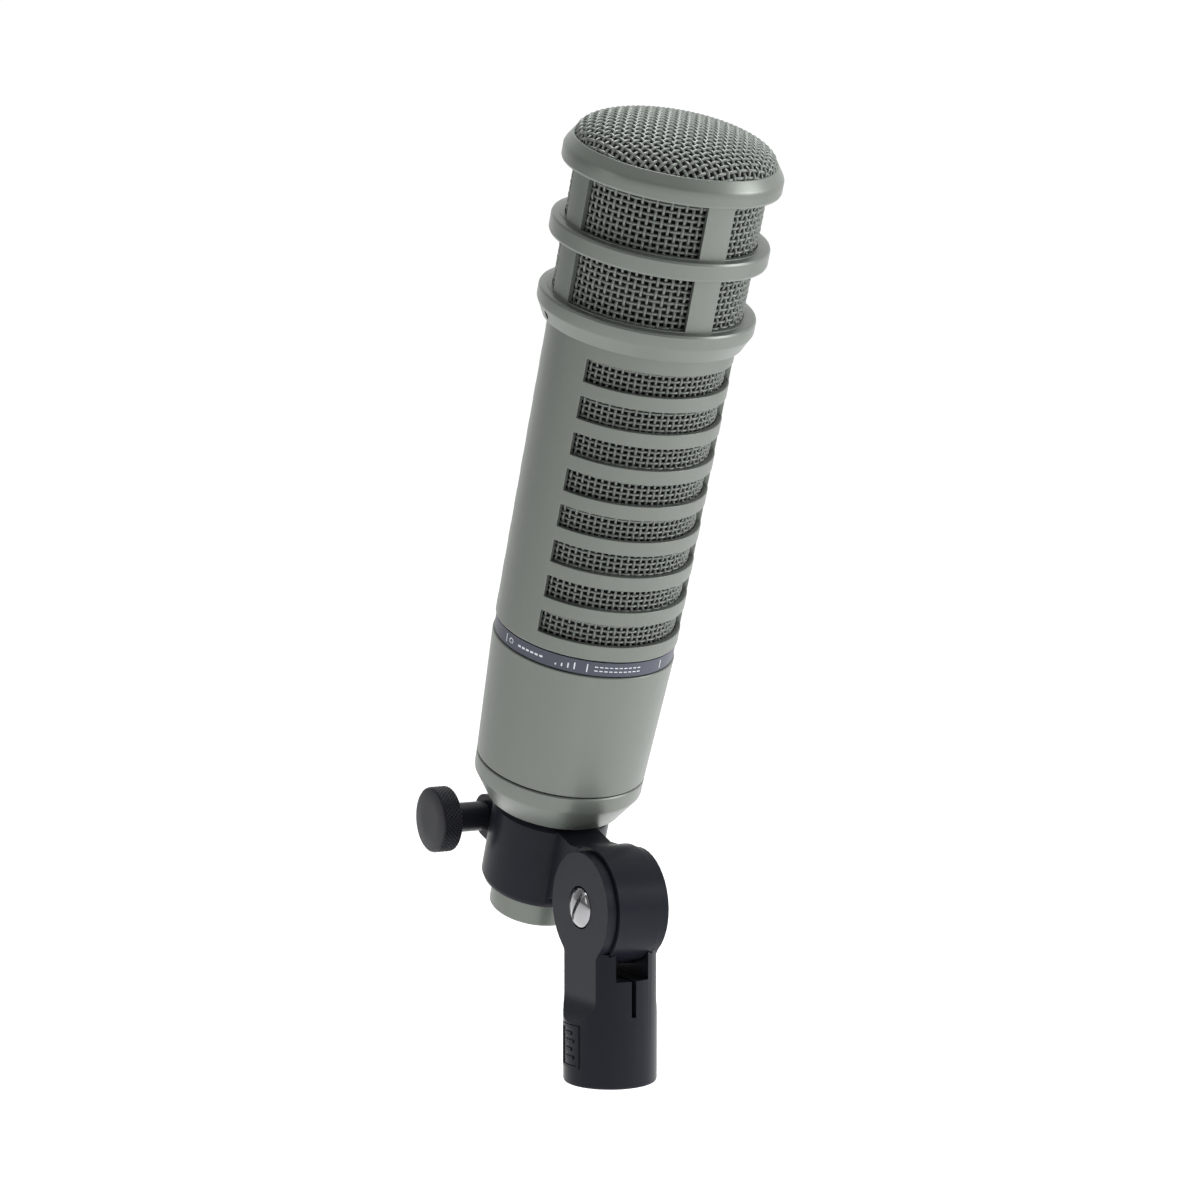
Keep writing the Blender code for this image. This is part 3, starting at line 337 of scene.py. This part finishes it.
def carve(piece, points, faces, place, sharp=30):
    """Cut a closed shape, in millimetres, out of a piece for good."""
    mesh = bpy.data.meshes.new("cutter")
    mesh.from_pydata([tuple(p) for p in points], [], faces)
    mesh.transform(place @ Matrix.Scale(MM, 4))
    cutter = bpy.data.objects.new("cutter", mesh)
    bpy.context.scene.collection.objects.link(cutter)
    others = [(m.name, m.show_viewport) for m in piece.modifiers]
    for name, _ in others:
        piece.modifiers[name].show_viewport = False
    cut = piece.modifiers.new("cut", "BOOLEAN")
    cut.object = cutter
    cut.operation = "DIFFERENCE"
    cut.solver = "EXACT"
    bpy.context.view_layer.update()
    carved = bpy.data.meshes.new_from_object(piece.evaluated_get(
        bpy.context.evaluated_depsgraph_get()))
    piece.modifiers.remove(cut)
    for name, shown in others:
        piece.modifiers[name].show_viewport = shown
    piece.data = carved
    bpy.data.objects.remove(cutter)
    carved.set_sharp_from_angle(angle=math.radians(sharp))


cut_points = [(x, y, z) for x in (-cut_half, cut_half) for y in (-cut_reach, cut_reach)
              for z in (crown - cut_depth, crown + 1)]
cut_faces = [(0, 1, 3, 2), (4, 6, 7, 5), (0, 4, 5, 1), (2, 3, 7, 6), (0, 2, 6, 4), (1, 5, 7, 3)]
carve(screw, cut_points, cut_faces, outward @ Matrix.Rotation(math.radians(cut_turn), 4, "Z"))
soften = screw.modifiers.new("soften", "BEVEL")
soften.width = cut_edge * MM
soften.segments = 2
soften.angle_limit = math.radians(40)
soften.harden_normals = True
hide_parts("pivot_screw")
dress("pivot_nut", steel, edge=0.25)


# ---------------------------------------------------------------- swivel clamp
# Split ring, neck and knuckle moulded in one piece in the same black plastic. Rubber friction
# washers sit in its two sides and a steel nut in its far lug.
rubber = finish("black_rubber", (0.022, 0.022, 0.023), (0.016, 0.016, 0.017), 0.75, grain=900)
dress("clamp_body", black_plastic, edge=0.4)
dress("friction_washer_left", rubber)
dress("friction_washer_right", rubber)
dress("clamp_nut", steel, edge=0.2)


# ---------------------------------------------------------------- thumb screw
# Plastic knob with a diamond knurl, moulded on a steel screw. The screw runs through the near lug
# into the nut in the far one and draws the two together, which grips the microphone's tail.
knob_axis = Vector(joints["thumb_screw_turn"]["pos_m"])
knob_low, knob_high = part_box("thumb_screw_knob")
face = -knob_low.x / MM
near = -knob_high.x / MM
knob_radius, neck_radius, screw_bore, bore_floor = 8.7, 3.9, 2.3, 2.0
teeth, pitches, knurl_depth, fine = 48, 4, 0.34, 4
pitch = math.tau * knob_radius / teeth
knurl_top = face - 0.5
knurl_low = knurl_top - pitches * pitch
profile = [(0, face), (4.0, face), (knob_radius - 0.75, face), (knob_radius - 0.45, face - 0.1),
           (knob_radius - 0.2, face - 0.35)]
knurl_row = len(profile)
knurled = [(knob_radius, knurl_top - pitch * i / fine) for i in range(fine * pitches + 1)]
profile += knurled
profile += [(knob_radius - 0.45, knurl_low - 0.3), (knob_radius - 1.2, face - 5.4),
            (neck_radius + 0.6, face - 6.0), (neck_radius, face - 6.5), (neck_radius, near),
            (screw_bore, near), (screw_bore, face - bore_floor), (0, face - bore_floor)]
points, faces = lathe(profile, fine * teeth, closed=False)
knurl_points = []
for index, (x, y, z) in enumerate(points):
    column, row = divmod(index, len(profile))
    down = row - knurl_row
    if 0 <= down < len(knurled):
        # distance from the nearest groove of each of the two crossing families, 0 to 0.5
        ways = [((column + side * down) / fine) % 1.0 for side in (-1, 1)]
        rise = min(min(way, 1 - way) for way in ways)
        radius = knob_radius - knurl_depth * (1 - 2 * rise)
        x, y = x * radius / knob_radius, y * radius / knob_radius
    knurl_points.append((x, y, z))
knob_plastic = finish("knob_plastic", (0.013, 0.0135, 0.017), (0.009, 0.0095, 0.013), 0.36,
                      grain=1500, depth=0.012, specular=0.16)
knob = solid("knurled_knob", knurl_points, faces, Matrix.Translation(knob_axis) @ sideways,
             knob_plastic, "thumb_screw", sharp=24)
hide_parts("thumb_screw_knob")
dress("thumb_screw_shank", steel)


# ---------------------------------------------------------------- rear end
# Turned aluminium painted a satin fawn grey: tail tube in the clamp, chamfered cap and tapered
# housing. The housing has an opening at the back for the bass switch.
tail = Vector(joints["microphone_turn"]["pos_m"])
along = Vector(joints["microphone_turn"]["axis"]).normalized()
across = Vector((1, 0, 0))
side = along.cross(across)
mic = Matrix(((across.x, side.x, along.x, tail.x), (across.y, side.y, along.y, tail.y),
              (across.z, side.z, along.z, tail.z), (0, 0, 0, 1)))
lean = math.atan2(-along.y, along.z)
fawn = finish("fawn_paint", (0.143, 0.158, 0.141), (0.130, 0.144, 0.128), 0.37, metallic=0.5,
              grain=1100, stretch=(1, 1, 0.06), depth=0.014, lean=lean)
fawn_smooth = finish("fawn_paint_cast", (0.150, 0.166, 0.148), (0.139, 0.154, 0.137), 0.36,
                     metallic=0.5, grain=2400, depth=0.010, lean=lean)

# heights up the axis from the tail's end, then radii
cap, seam, band, body = 31.4, 42.9, 77.7, 81.7
body_radius, seam_radius, tail_radius = 23.6, 22.1, 11.9
tail_bore, flange_radius, flange, tail_top = 9.6, 15.3, 34.9, 36.9
gap = 0.15
facets = 160

tail_outline = [(tail_bore, 0.5), (9.8, 0.2), (10.1, 0), (11.4, 0), (11.7, 0.15), (11.85, 0.35),
                (tail_radius, 0.7), (tail_radius, flange), (flange_radius, flange),
                (flange_radius, tail_top), (tail_bore, tail_top)]
points, faces = lathe(tail_outline, facets)
piece = solid("tail_sleeve", points, faces, mic, fawn, "microphone")
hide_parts("tail_tube")

cap_end, cap_top = seam_radius - 4.3, seam - gap
cap_bore, cap_wall, spigot_inner, spigot_outer, spigot_top = 12.2, 3.2, 19.1, 20.3, seam + 5.85
cap_outline = [(cap_bore, cap), (cap_end - 1.0, cap), (cap_end - 0.5, cap + 0.12),
               (cap_end - 0.12, cap + 0.38), (seam_radius - 0.5, cap_top - 4.9),
               (seam_radius - 0.2, cap_top - 4.45), (seam_radius - 0.06, cap_top - 3.9),
               (seam_radius, cap_top - 0.3), (seam_radius - 0.25, cap_top),
               (spigot_outer, cap_top), (spigot_outer, spigot_top), (spigot_inner, spigot_top),
               (spigot_inner, seam - 2.15), (15.6, cap + cap_wall), (cap_bore, cap + cap_wall)]
points, faces = lathe(cap_outline, facets)
piece = solid("chamfered_cap", points, faces, mic, fawn, "microphone")
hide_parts("rear_cap")


def pierced_shell(outer, inner, breaks, holes):
    """Closed round wall between two outlines of as many (radius, height) rows.

    breaks are the columns' degrees, and holes(degrees, height) says where there is no wall.
    """
    rows, columns = len(outer), len(breaks)
    points, faces = [], []
    for outline in (outer, inner):
        for degrees in breaks:
            a = math.radians(degrees)
            points += [(r * math.cos(a), r * math.sin(a), z) for r, z in outline]
    inside = rows * columns
    middles = [(breaks[j] + (breaks[(j + 1) % columns] + (360 if j == columns - 1 else 0))) / 2
               for j in range(columns)]
    wall = [[not holes(middles[j], (outer[i][1] + outer[i + 1][1]) / 2) for j in range(columns)]
            for i in range(rows - 1)]
    for i in range(rows - 1):
        for j in range(columns):
            if not wall[i][j]:
                continue
            n = (j + 1) % columns
            a, b, c, d = rows * j + i, rows * n + i, rows * n + i + 1, rows * j + i + 1
            faces += [(a, b, c, d), (inside + d, inside + c, inside + b, inside + a)]
            for p, q, beside in ((a, b, i > 0 and wall[i - 1][j]),
                                 (c, d, i < rows - 2 and wall[i + 1][j]),
                                 (b, c, wall[i][n]), (d, a, wall[i][j - 1])):
                if not beside:
                    faces.append((q, p, inside + p, inside + q))
    return points, faces


def columns_between(edges, step):
    """Degrees round the wall that hold every edge, no more than step apart."""
    edges = sorted(edges)
    found = []
    for begin, end in zip(edges, edges[1:] + [edges[0] + 360]):
        count = math.ceil((end - begin) / step)
        found += [begin + (end - begin) * i / count for i in range(count)]
    return found


# the switch opening's middle and half height, its half width in degrees and its side of the axis
switch_middle, switch_half, switch_wide, switch_side = seam + 15.0, 7.0, 8.05, 90
bevel, housing_bore = 0.25, 20.6
low, high = seam + gap, band - gap
heights = [low, low + bevel, switch_middle - switch_half, switch_middle + switch_half,
           high - bevel, high]


def taper(height):
    """The housing's radius, which grows evenly from the cap to the band."""
    return seam_radius + (body_radius - seam_radius) * (height - low) / (high - low)


outer = [(taper(z), z) for z in heights]
outer[0] = (outer[0][0] - bevel, low)
outer[-1] = (outer[-1][0] - bevel, high)
inner = [(housing_bore, z) for z in heights]


def switch_opening(degrees, height):
    """Whether a place on the housing's wall lies in the opening for the bass switch."""
    return (abs(degrees - switch_side) < switch_wide
            and abs(height - switch_middle) < switch_half)


columns = columns_between([switch_side - switch_wide, switch_side + switch_wide], 2.5)
points, faces = pierced_shell(outer, inner, columns, switch_opening)
piece = solid("tapered_housing", points, faces, mic, fawn, "microphone", edge=0.12)
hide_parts("rear_housing")
switch_plastic = finish("switch_plastic", (0.020, 0.020, 0.021), (0.015, 0.015, 0.016), 0.45)
for name in ("bass_switch_plate", "bass_switch_slider", "bass_switch_body"):
    dress(name, switch_plastic, edge=0.15)


# ---------------------------------------------------------------- connector and wiring
# Three gold pins in a black insulator, the output transformer with its copper winding, and the
# bass filter's board. None of it shows from outside but the pins.
gold = finish("gold_pin", (0.80, 0.58, 0.26), (0.70, 0.50, 0.20), 0.22, metallic=1.0, grain=2000)
copper = finish("enamelled_copper", (0.52, 0.20, 0.09), (0.36, 0.13, 0.06), 0.32, metallic=1.0,
                grain=3500, stretch=(1, 1, 5), depth=0.05, lean=lean)
magnet_grey = finish("sintered_magnet", (0.15, 0.15, 0.16), (0.10, 0.10, 0.11), 0.45, metallic=0.8)
board_green = finish("board_green", (0.03, 0.14, 0.07), (0.02, 0.10, 0.05), 0.42, grain=800)
red = finish("red_sleeve", (0.42, 0.03, 0.03), (0.34, 0.02, 0.02), 0.5)
black = finish("black_sleeve", (0.02, 0.02, 0.02), (0.013, 0.013, 0.013), 0.5)
pale_film = finish("pale_film", (0.64, 0.60, 0.48), (0.56, 0.52, 0.41), 0.32)
for names, material in (
        (("connector_insert", "capsule_housing", "acoustic_tube"), black_plastic),
        (("connector_pin_1", "connector_pin_2", "connector_pin_3"), gold),
        (("transformer_core", "resonator_plate", "magnet_yoke", "pole_piece"), steel),
        (("transformer_winding", "voice_coil"), copper), (("hum_coil",), black),
        (("filter_board",), board_green), (("filter_choke", "magnet"), magnet_grey),
        (("filter_capacitor", "capsule_lead_1", "output_lead_2"), red),
        (("capsule_lead_2", "output_lead_1"), black), (("output_lead_3", "diaphragm"), pale_film),
        (("front_shock_mount", "rear_shock_mount"), rubber), (("diaphragm_ring",), brass)):
    for name in names:
        dress(name, material)


# ---------------------------------------------------------------- label band
# Slate-blue painted ring between housing and body, with plain white printed marks: a cardioid
# pattern sign, rows of dashes and divider lines.
slate = finish("slate_paint", (0.033, 0.040, 0.064), (0.027, 0.033, 0.053), 0.40, grain=1800)
white_ink = finish("white_ink", (0.62, 0.65, 0.70), (0.52, 0.55, 0.60), 0.5)
band_bore, band_radius = 22.1, body_radius - 0.35
band_outline = [(band_bore, band + gap), (band_radius, band + gap), (band_radius, body - gap),
                (band_bore, body - gap)]
points, faces = lathe(band_outline, facets)
piece = solid("slate_band", points, faces, mic, slate, "microphone")
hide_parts("label_band")

# marks are laid out in degrees from the front of the band and millimetres from its middle line
front, line = -122.6, band + 2.0
ink_low, ink_high = band_radius - 0.05, band_radius + 0.04
tall = 1.1
bars = [(front + 5.0, front + 5.7, line - tall, line + tall),
        (front + 59.0, front + 59.6, line - tall, line + tall),
        (front - 55.5, front - 54.9, line - tall, line + tall)]
dashes = front - 43
bars += [(dashes + 3.4 * i, dashes + 3.4 * i + 2.3, line - 0.25, line + 0.25) for i in range(6)]
stairs, stair_foot = front - 15, line - 0.9
bars += [(stairs + 4.0 * i, stairs + 4.0 * i + 0.9, stair_foot, stair_foot + 0.45 * (i + 1))
         for i in range(4)]
small_print = front + 10
for row in (-0.62, 0.42):
    bars += [(small_print + 3.2 * i, small_print + 3.2 * i + 2.1, line + row, line + row + 0.24)
             for i in range(10)]
points, faces = curved_bars(bars, ink_low, ink_high)
# the cardioid is a closed stroke between its outline and the same outline drawn smaller
heart_steps, heart_size, heart_inside, heart_foot = 40, 0.62, 0.74, line - 0.45
heart_middle = math.radians(front - 50)
first = len(points)
for i in range(heart_steps):
    t = math.tau * i / heart_steps
    heart_reach = heart_size * (1 + math.cos(t))
    for r, scale in ((ink_low, 1.0), (ink_high, 1.0), (ink_high, heart_inside),
                     (ink_low, heart_inside)):
        a = heart_middle + scale * heart_reach * math.sin(t) / band_radius
        height = heart_foot + scale * heart_reach * math.cos(t) + (1 - scale) * 0.4
        points.append((r * math.cos(a), r * math.sin(a), height))
for i in range(heart_steps):
    here, there = first + 4 * i, first + 4 * ((i + 1) % heart_steps)
    faces += [(here + k, here + (k + 1) % 4, there + (k + 1) % 4, there + k) for k in range(4)]
solid("band_marks", points, faces, mic, white_ink, "microphone", smooth=False)


# ---------------------------------------------------------------- body tube
# Painted aluminium tube with eight slots milled through each side over most of the half circle.
# Painted wire cloth and dark foam line it, so the slots look into a dim weave.
slot_half_angle, slot_half, slot_first, slot_pitch, slot_count = 62.7, 2.85, 88.9, 9.507, 8
slot_middles = [slot_first + slot_pitch * i for i in range(slot_count)]
collar, tube_wall = 162.5, 1.4
low, high = body + gap, collar + 3.5
heights = [low, low + 0.3]
heights += [m + s * slot_half for m in slot_middles for s in (-1, 1)] + [collar - 0.5, high]
outer = [(body_radius, z) for z in heights]
outer[0] = (body_radius - bevel, low)
inner = [(body_radius - tube_wall, z) for z in heights]
ends = [middle + turn * slot_half_angle for middle in (-90, 90) for turn in (-1, 1)]


def slotted(degrees, height):
    """Whether a place on the tube's wall lies in one of the slots, which face both sides."""
    degrees = (degrees + 180) % 360 - 180
    return (abs(abs(degrees) - 90) < slot_half_angle
            and min(abs(height - m) for m in slot_middles) < slot_half)


points, faces = pierced_shell(outer, inner, columns_between(ends, 2.1), slotted)
piece = solid("slotted_body", points, faces, mic, fawn, "microphone", edge=0.22)
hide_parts("body_tube")

foam = finish("dark_foam", (0.010, 0.010, 0.010), (0.005, 0.005, 0.005), 0.95, grain=900,
              depth=0.4)
dress("slot_foam", foam)


def wire(centres, outs, radius, sides, points, faces, closed=False):
    """Add a round wire along centres; outs are the directions square to the cloth."""
    centres, outs = np.asarray(centres, float), np.asarray(outs, float)
    if closed:
        run = np.roll(centres, -1, 0) - np.roll(centres, 1, 0)
    else:
        run = np.gradient(centres, axis=0)
    run /= np.linalg.norm(run, axis=1)[:, None]
    beside = np.cross(run, outs)
    beside /= np.linalg.norm(beside, axis=1)[:, None]
    over = np.cross(beside, run)
    first = len(points)
    turns = [math.tau * k / sides for k in range(sides)]
    rings = np.stack([centres + radius * (math.cos(t) * over + math.sin(t) * beside)
                      for t in turns], 1)
    points.extend(map(tuple, rings.reshape(-1, 3)))
    count = len(centres)
    for i in range(count if closed else count - 1):
        here, there = first + sides * i, first + sides * ((i + 1) % count)
        for k in range(sides):
            n = (k + 1) % sides
            faces.append((here + k, here + n, there + n, there + k))
    if not closed:
        faces.append(tuple(first + k for k in reversed(range(sides))))
        faces.append(tuple(first + sides * (count - 1) + k for k in range(sides)))


def cylinder_cloth(radius, low, high, rise, begin, end, wires, wire_radius, fine, sides):
    """Plain-woven wire cloth round the axis between two heights and two angles in degrees.

    rise is the height between wires, and fine the number of steps from one crossing to the next.
    """
    points, faces = [], []
    whole = end - begin >= 360
    rows = round((high - low) / rise)
    rise = (high - low) / rows
    lift = wire_radius * 0.5
    for row in range(rows + 1):
        u = np.arange(wires * fine + (0 if whole else 1)) / fine
        a = np.radians(begin + (end - begin) * u / wires)
        r = radius + lift * np.cos(math.pi * u) * (-1) ** row
        outs = np.stack([np.cos(a), np.sin(a), 0 * a], 1)
        centres = outs * r[:, None] + np.array([0, 0, low + rise * row])
        wire(centres, outs, wire_radius, sides, points, faces, closed=whole)
    for column in range(wires + (0 if whole else 1)):
        v = np.arange(rows * fine + 1) / fine
        a = math.radians(begin + (end - begin) * column / wires)
        r = radius - lift * np.cos(math.pi * v) * (-1) ** column
        outs = np.tile([math.cos(a), math.sin(a), 0.0], (len(v), 1))
        centres = outs * r[:, None] + np.stack([0 * v, 0 * v, low + rise * v], 1)
        wire(centres, outs, wire_radius, sides, points, faces)
    return points, faces


cloth_paint = finish("cloth_paint", (0.160, 0.176, 0.161), (0.134, 0.148, 0.134), 0.40,
                     metallic=0.4, grain=2600, depth=0.01)
cloth_margin, cloth_half_angle = 3.6, 66
for number, middle in enumerate((-90, 90)):
    points, faces = cylinder_cloth(
        21.62, slot_middles[0] - cloth_margin, slot_middles[-1] + cloth_margin, rise=1.43,
        begin=middle - cloth_half_angle, end=middle + cloth_half_angle, wires=30,
        wire_radius=0.38, fine=3, sides=5)
    piece = solid(f"slot_cloth_{number + 1}", points, faces, mic, cloth_paint,
                  "microphone", sharp=80)
    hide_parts("slot_mesh")


# ---------------------------------------------------------------- head
# Cast cage with a cone collar, three rings and four bars, pinched on the body by set screws.
# Wire cloth lines its windows, and a pressed wire dome crowns it over a foam blast filter.
low_window, mid_ring, top_window, top_ring, rim = 170.1, 183.4, 188.4, 201.7, 208.3
cage_bore, cage_radius, head_radius, rim_bore = 23.9, 25.2, 27.2, 24.9
bar_width, lip = 7.5, 0.2


def ring_of(low, high):
    """Outline of one rounded ring, from its lower edge to its upper edge."""
    return [(head_radius - 0.75, low + 0.08), (head_radius - 0.25, low + 0.25),
            (head_radius, low + 0.8), (head_radius, high - 0.8), (head_radius - 0.25, high - 0.25),
            (head_radius - 0.75, high - 0.08)]


outer = [(cage_radius, collar), (cage_radius + 0.9, collar + 1.9),
         (head_radius - 0.25, collar + 3.5), (head_radius, collar + 4.1)]
outer += ring_of(collar, low_window)[3:] + [(cage_radius, low_window)]
outer += [(cage_radius, low_window + lip), (cage_radius, mid_ring - lip), (cage_radius, mid_ring)]
outer += ring_of(mid_ring, top_window) + [(cage_radius, top_window)]
outer += [(cage_radius, top_window + lip), (cage_radius, top_ring - lip), (cage_radius, top_ring)]
outer += ring_of(top_ring, rim)[:3]
outer += [(head_radius, top_ring + 2.2), (head_radius, rim - 3.0), (head_radius - 0.4, rim - 2.1),
          (rim_bore + 0.5, rim - 0.05), (rim_bore + 0.2, rim)]
inner = [(cage_bore if z < top_ring + 2 else rim_bore, z) for _, z in outer]
half_bar = math.degrees(bar_width / 2 / cage_radius)
edges = [90 * i + turn * half_bar for i in range(4) for turn in (-1, 1)]


def window(degrees, height):
    """Whether a place on the cage's wall lies in one of its eight windows."""
    off_bar = abs((degrees + 45) % 90 - 45) > half_bar
    return off_bar and (low_window + lip < height < mid_ring - lip
                        or top_window + lip < height < top_ring - lip)


points, faces = pierced_shell(outer, inner, columns_between(edges, 2.3), window)
piece = solid("cast_cage", points, faces, mic, fawn_smooth, "microphone", edge=0.2,
              sharp=24)
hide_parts("head_cage")
hole_radius, hole_rise, hole_side = 1.0, 2.0, 173
hole_points, hole_faces = lathe(
    [(0, cage_bore - 1), (hole_radius, cage_bore - 1), (hole_radius, head_radius + 1),
     (0, head_radius + 1)], 20, closed=False)
for number in range(2):
    turn = Matrix.Rotation(math.radians(hole_side + 180 * number), 4, "Z")
    drill = turn @ Matrix.Rotation(math.radians(90), 4, "Y")
    carve(piece, hole_points, hole_faces,
          mic @ Matrix.Translation((0, 0, (collar + hole_rise) * MM)) @ drill, sharp=24)
    dress(f"head_screw_{number + 1}", steel)
dress("head_foam", foam)

points, faces = cylinder_cloth(23.25, low_window - 1.5, top_ring + 2.0, rise=1.60, begin=0,
                               end=360, wires=82, wire_radius=0.42, fine=4, sides=6)
piece = solid("window_cloth", points, faces, mic, cloth_paint, "microphone",
              sharp=80)
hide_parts("head_mesh")

dome_radius, dome_rise, squareness, skirt = 24.4, 7.2, 2.2, 3.0
dome_pitch, dome_wire, dome_lift, dome_fine = 1.74, 0.41, 0.55, 4
# radius and height down one side of the dome, and the length run from the crown
side_r = dome_radius * np.sin(np.linspace(0, math.pi / 2, 400))
side_z = (dome_rise - dome_wire * 1.6) * np.sqrt(
    np.maximum(0, 1 - (side_r / dome_radius) ** squareness))
side_r = np.append(side_r, dome_radius)
side_z = np.append(side_z, -skirt)
side_run = np.concatenate([[0], np.cumsum(np.hypot(np.diff(side_r), np.diff(side_z)))])
dome_reach = side_run[-1]


def dome_place(u, v, lift):
    """Flat cloth pressed over the dome: distance from the crown becomes length down its side."""
    run = np.minimum(np.hypot(u, v), dome_reach)
    r, z = np.interp(run, side_run, side_r), np.interp(run, side_run, side_z)
    probe = 0.2
    ahead = np.minimum(run + probe, dome_reach)
    behind = ahead - 2 * probe
    dr = (np.interp(ahead, side_run, side_r)
          - np.interp(np.abs(behind), side_run, side_r) * np.sign(behind))
    dz = np.interp(ahead, side_run, side_z) - np.interp(np.abs(behind), side_run, side_z)
    size = np.hypot(dr, dz)
    spoke = np.stack([u, v], 1) / np.maximum(np.hypot(u, v), 1e-6)[:, None]
    outs = np.concatenate([spoke * (-dz / size)[:, None], (dr / size)[:, None]], 1)
    return np.concatenate([spoke * r[:, None], (rim + z)[:, None]], 1) + outs * lift[:, None], outs


points, faces = [], []
count = int(dome_reach / dome_pitch)
weave_turn = math.radians(12.4)
for way in (1, -1):
    direction = weave_turn if way == 1 else weave_turn + math.pi / 2
    cosine, sine = math.cos(direction), math.sin(direction)
    for k in range(-count, count + 1):
        offset = (k + 0.01) * dome_pitch * way
        half = math.sqrt(dome_reach ** 2 - offset ** 2)
        last = int(half * dome_fine / dome_pitch)
        if last < dome_fine:
            continue
        along_wire = np.arange(-last, last + 1) * dome_pitch / dome_fine
        lift = np.cos(math.pi * along_wire / dome_pitch) * (-1) ** k * way
        u, v = along_wire * cosine - offset * sine, along_wire * sine + offset * cosine
        centres, outs = dome_place(u, v, lift * dome_wire * dome_lift)
        wire(centres, outs, dome_wire, 6, points, faces)
piece = solid("woven_dome", points, faces, mic, cloth_paint, "microphone", sharp=80)
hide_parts("grille_dome")
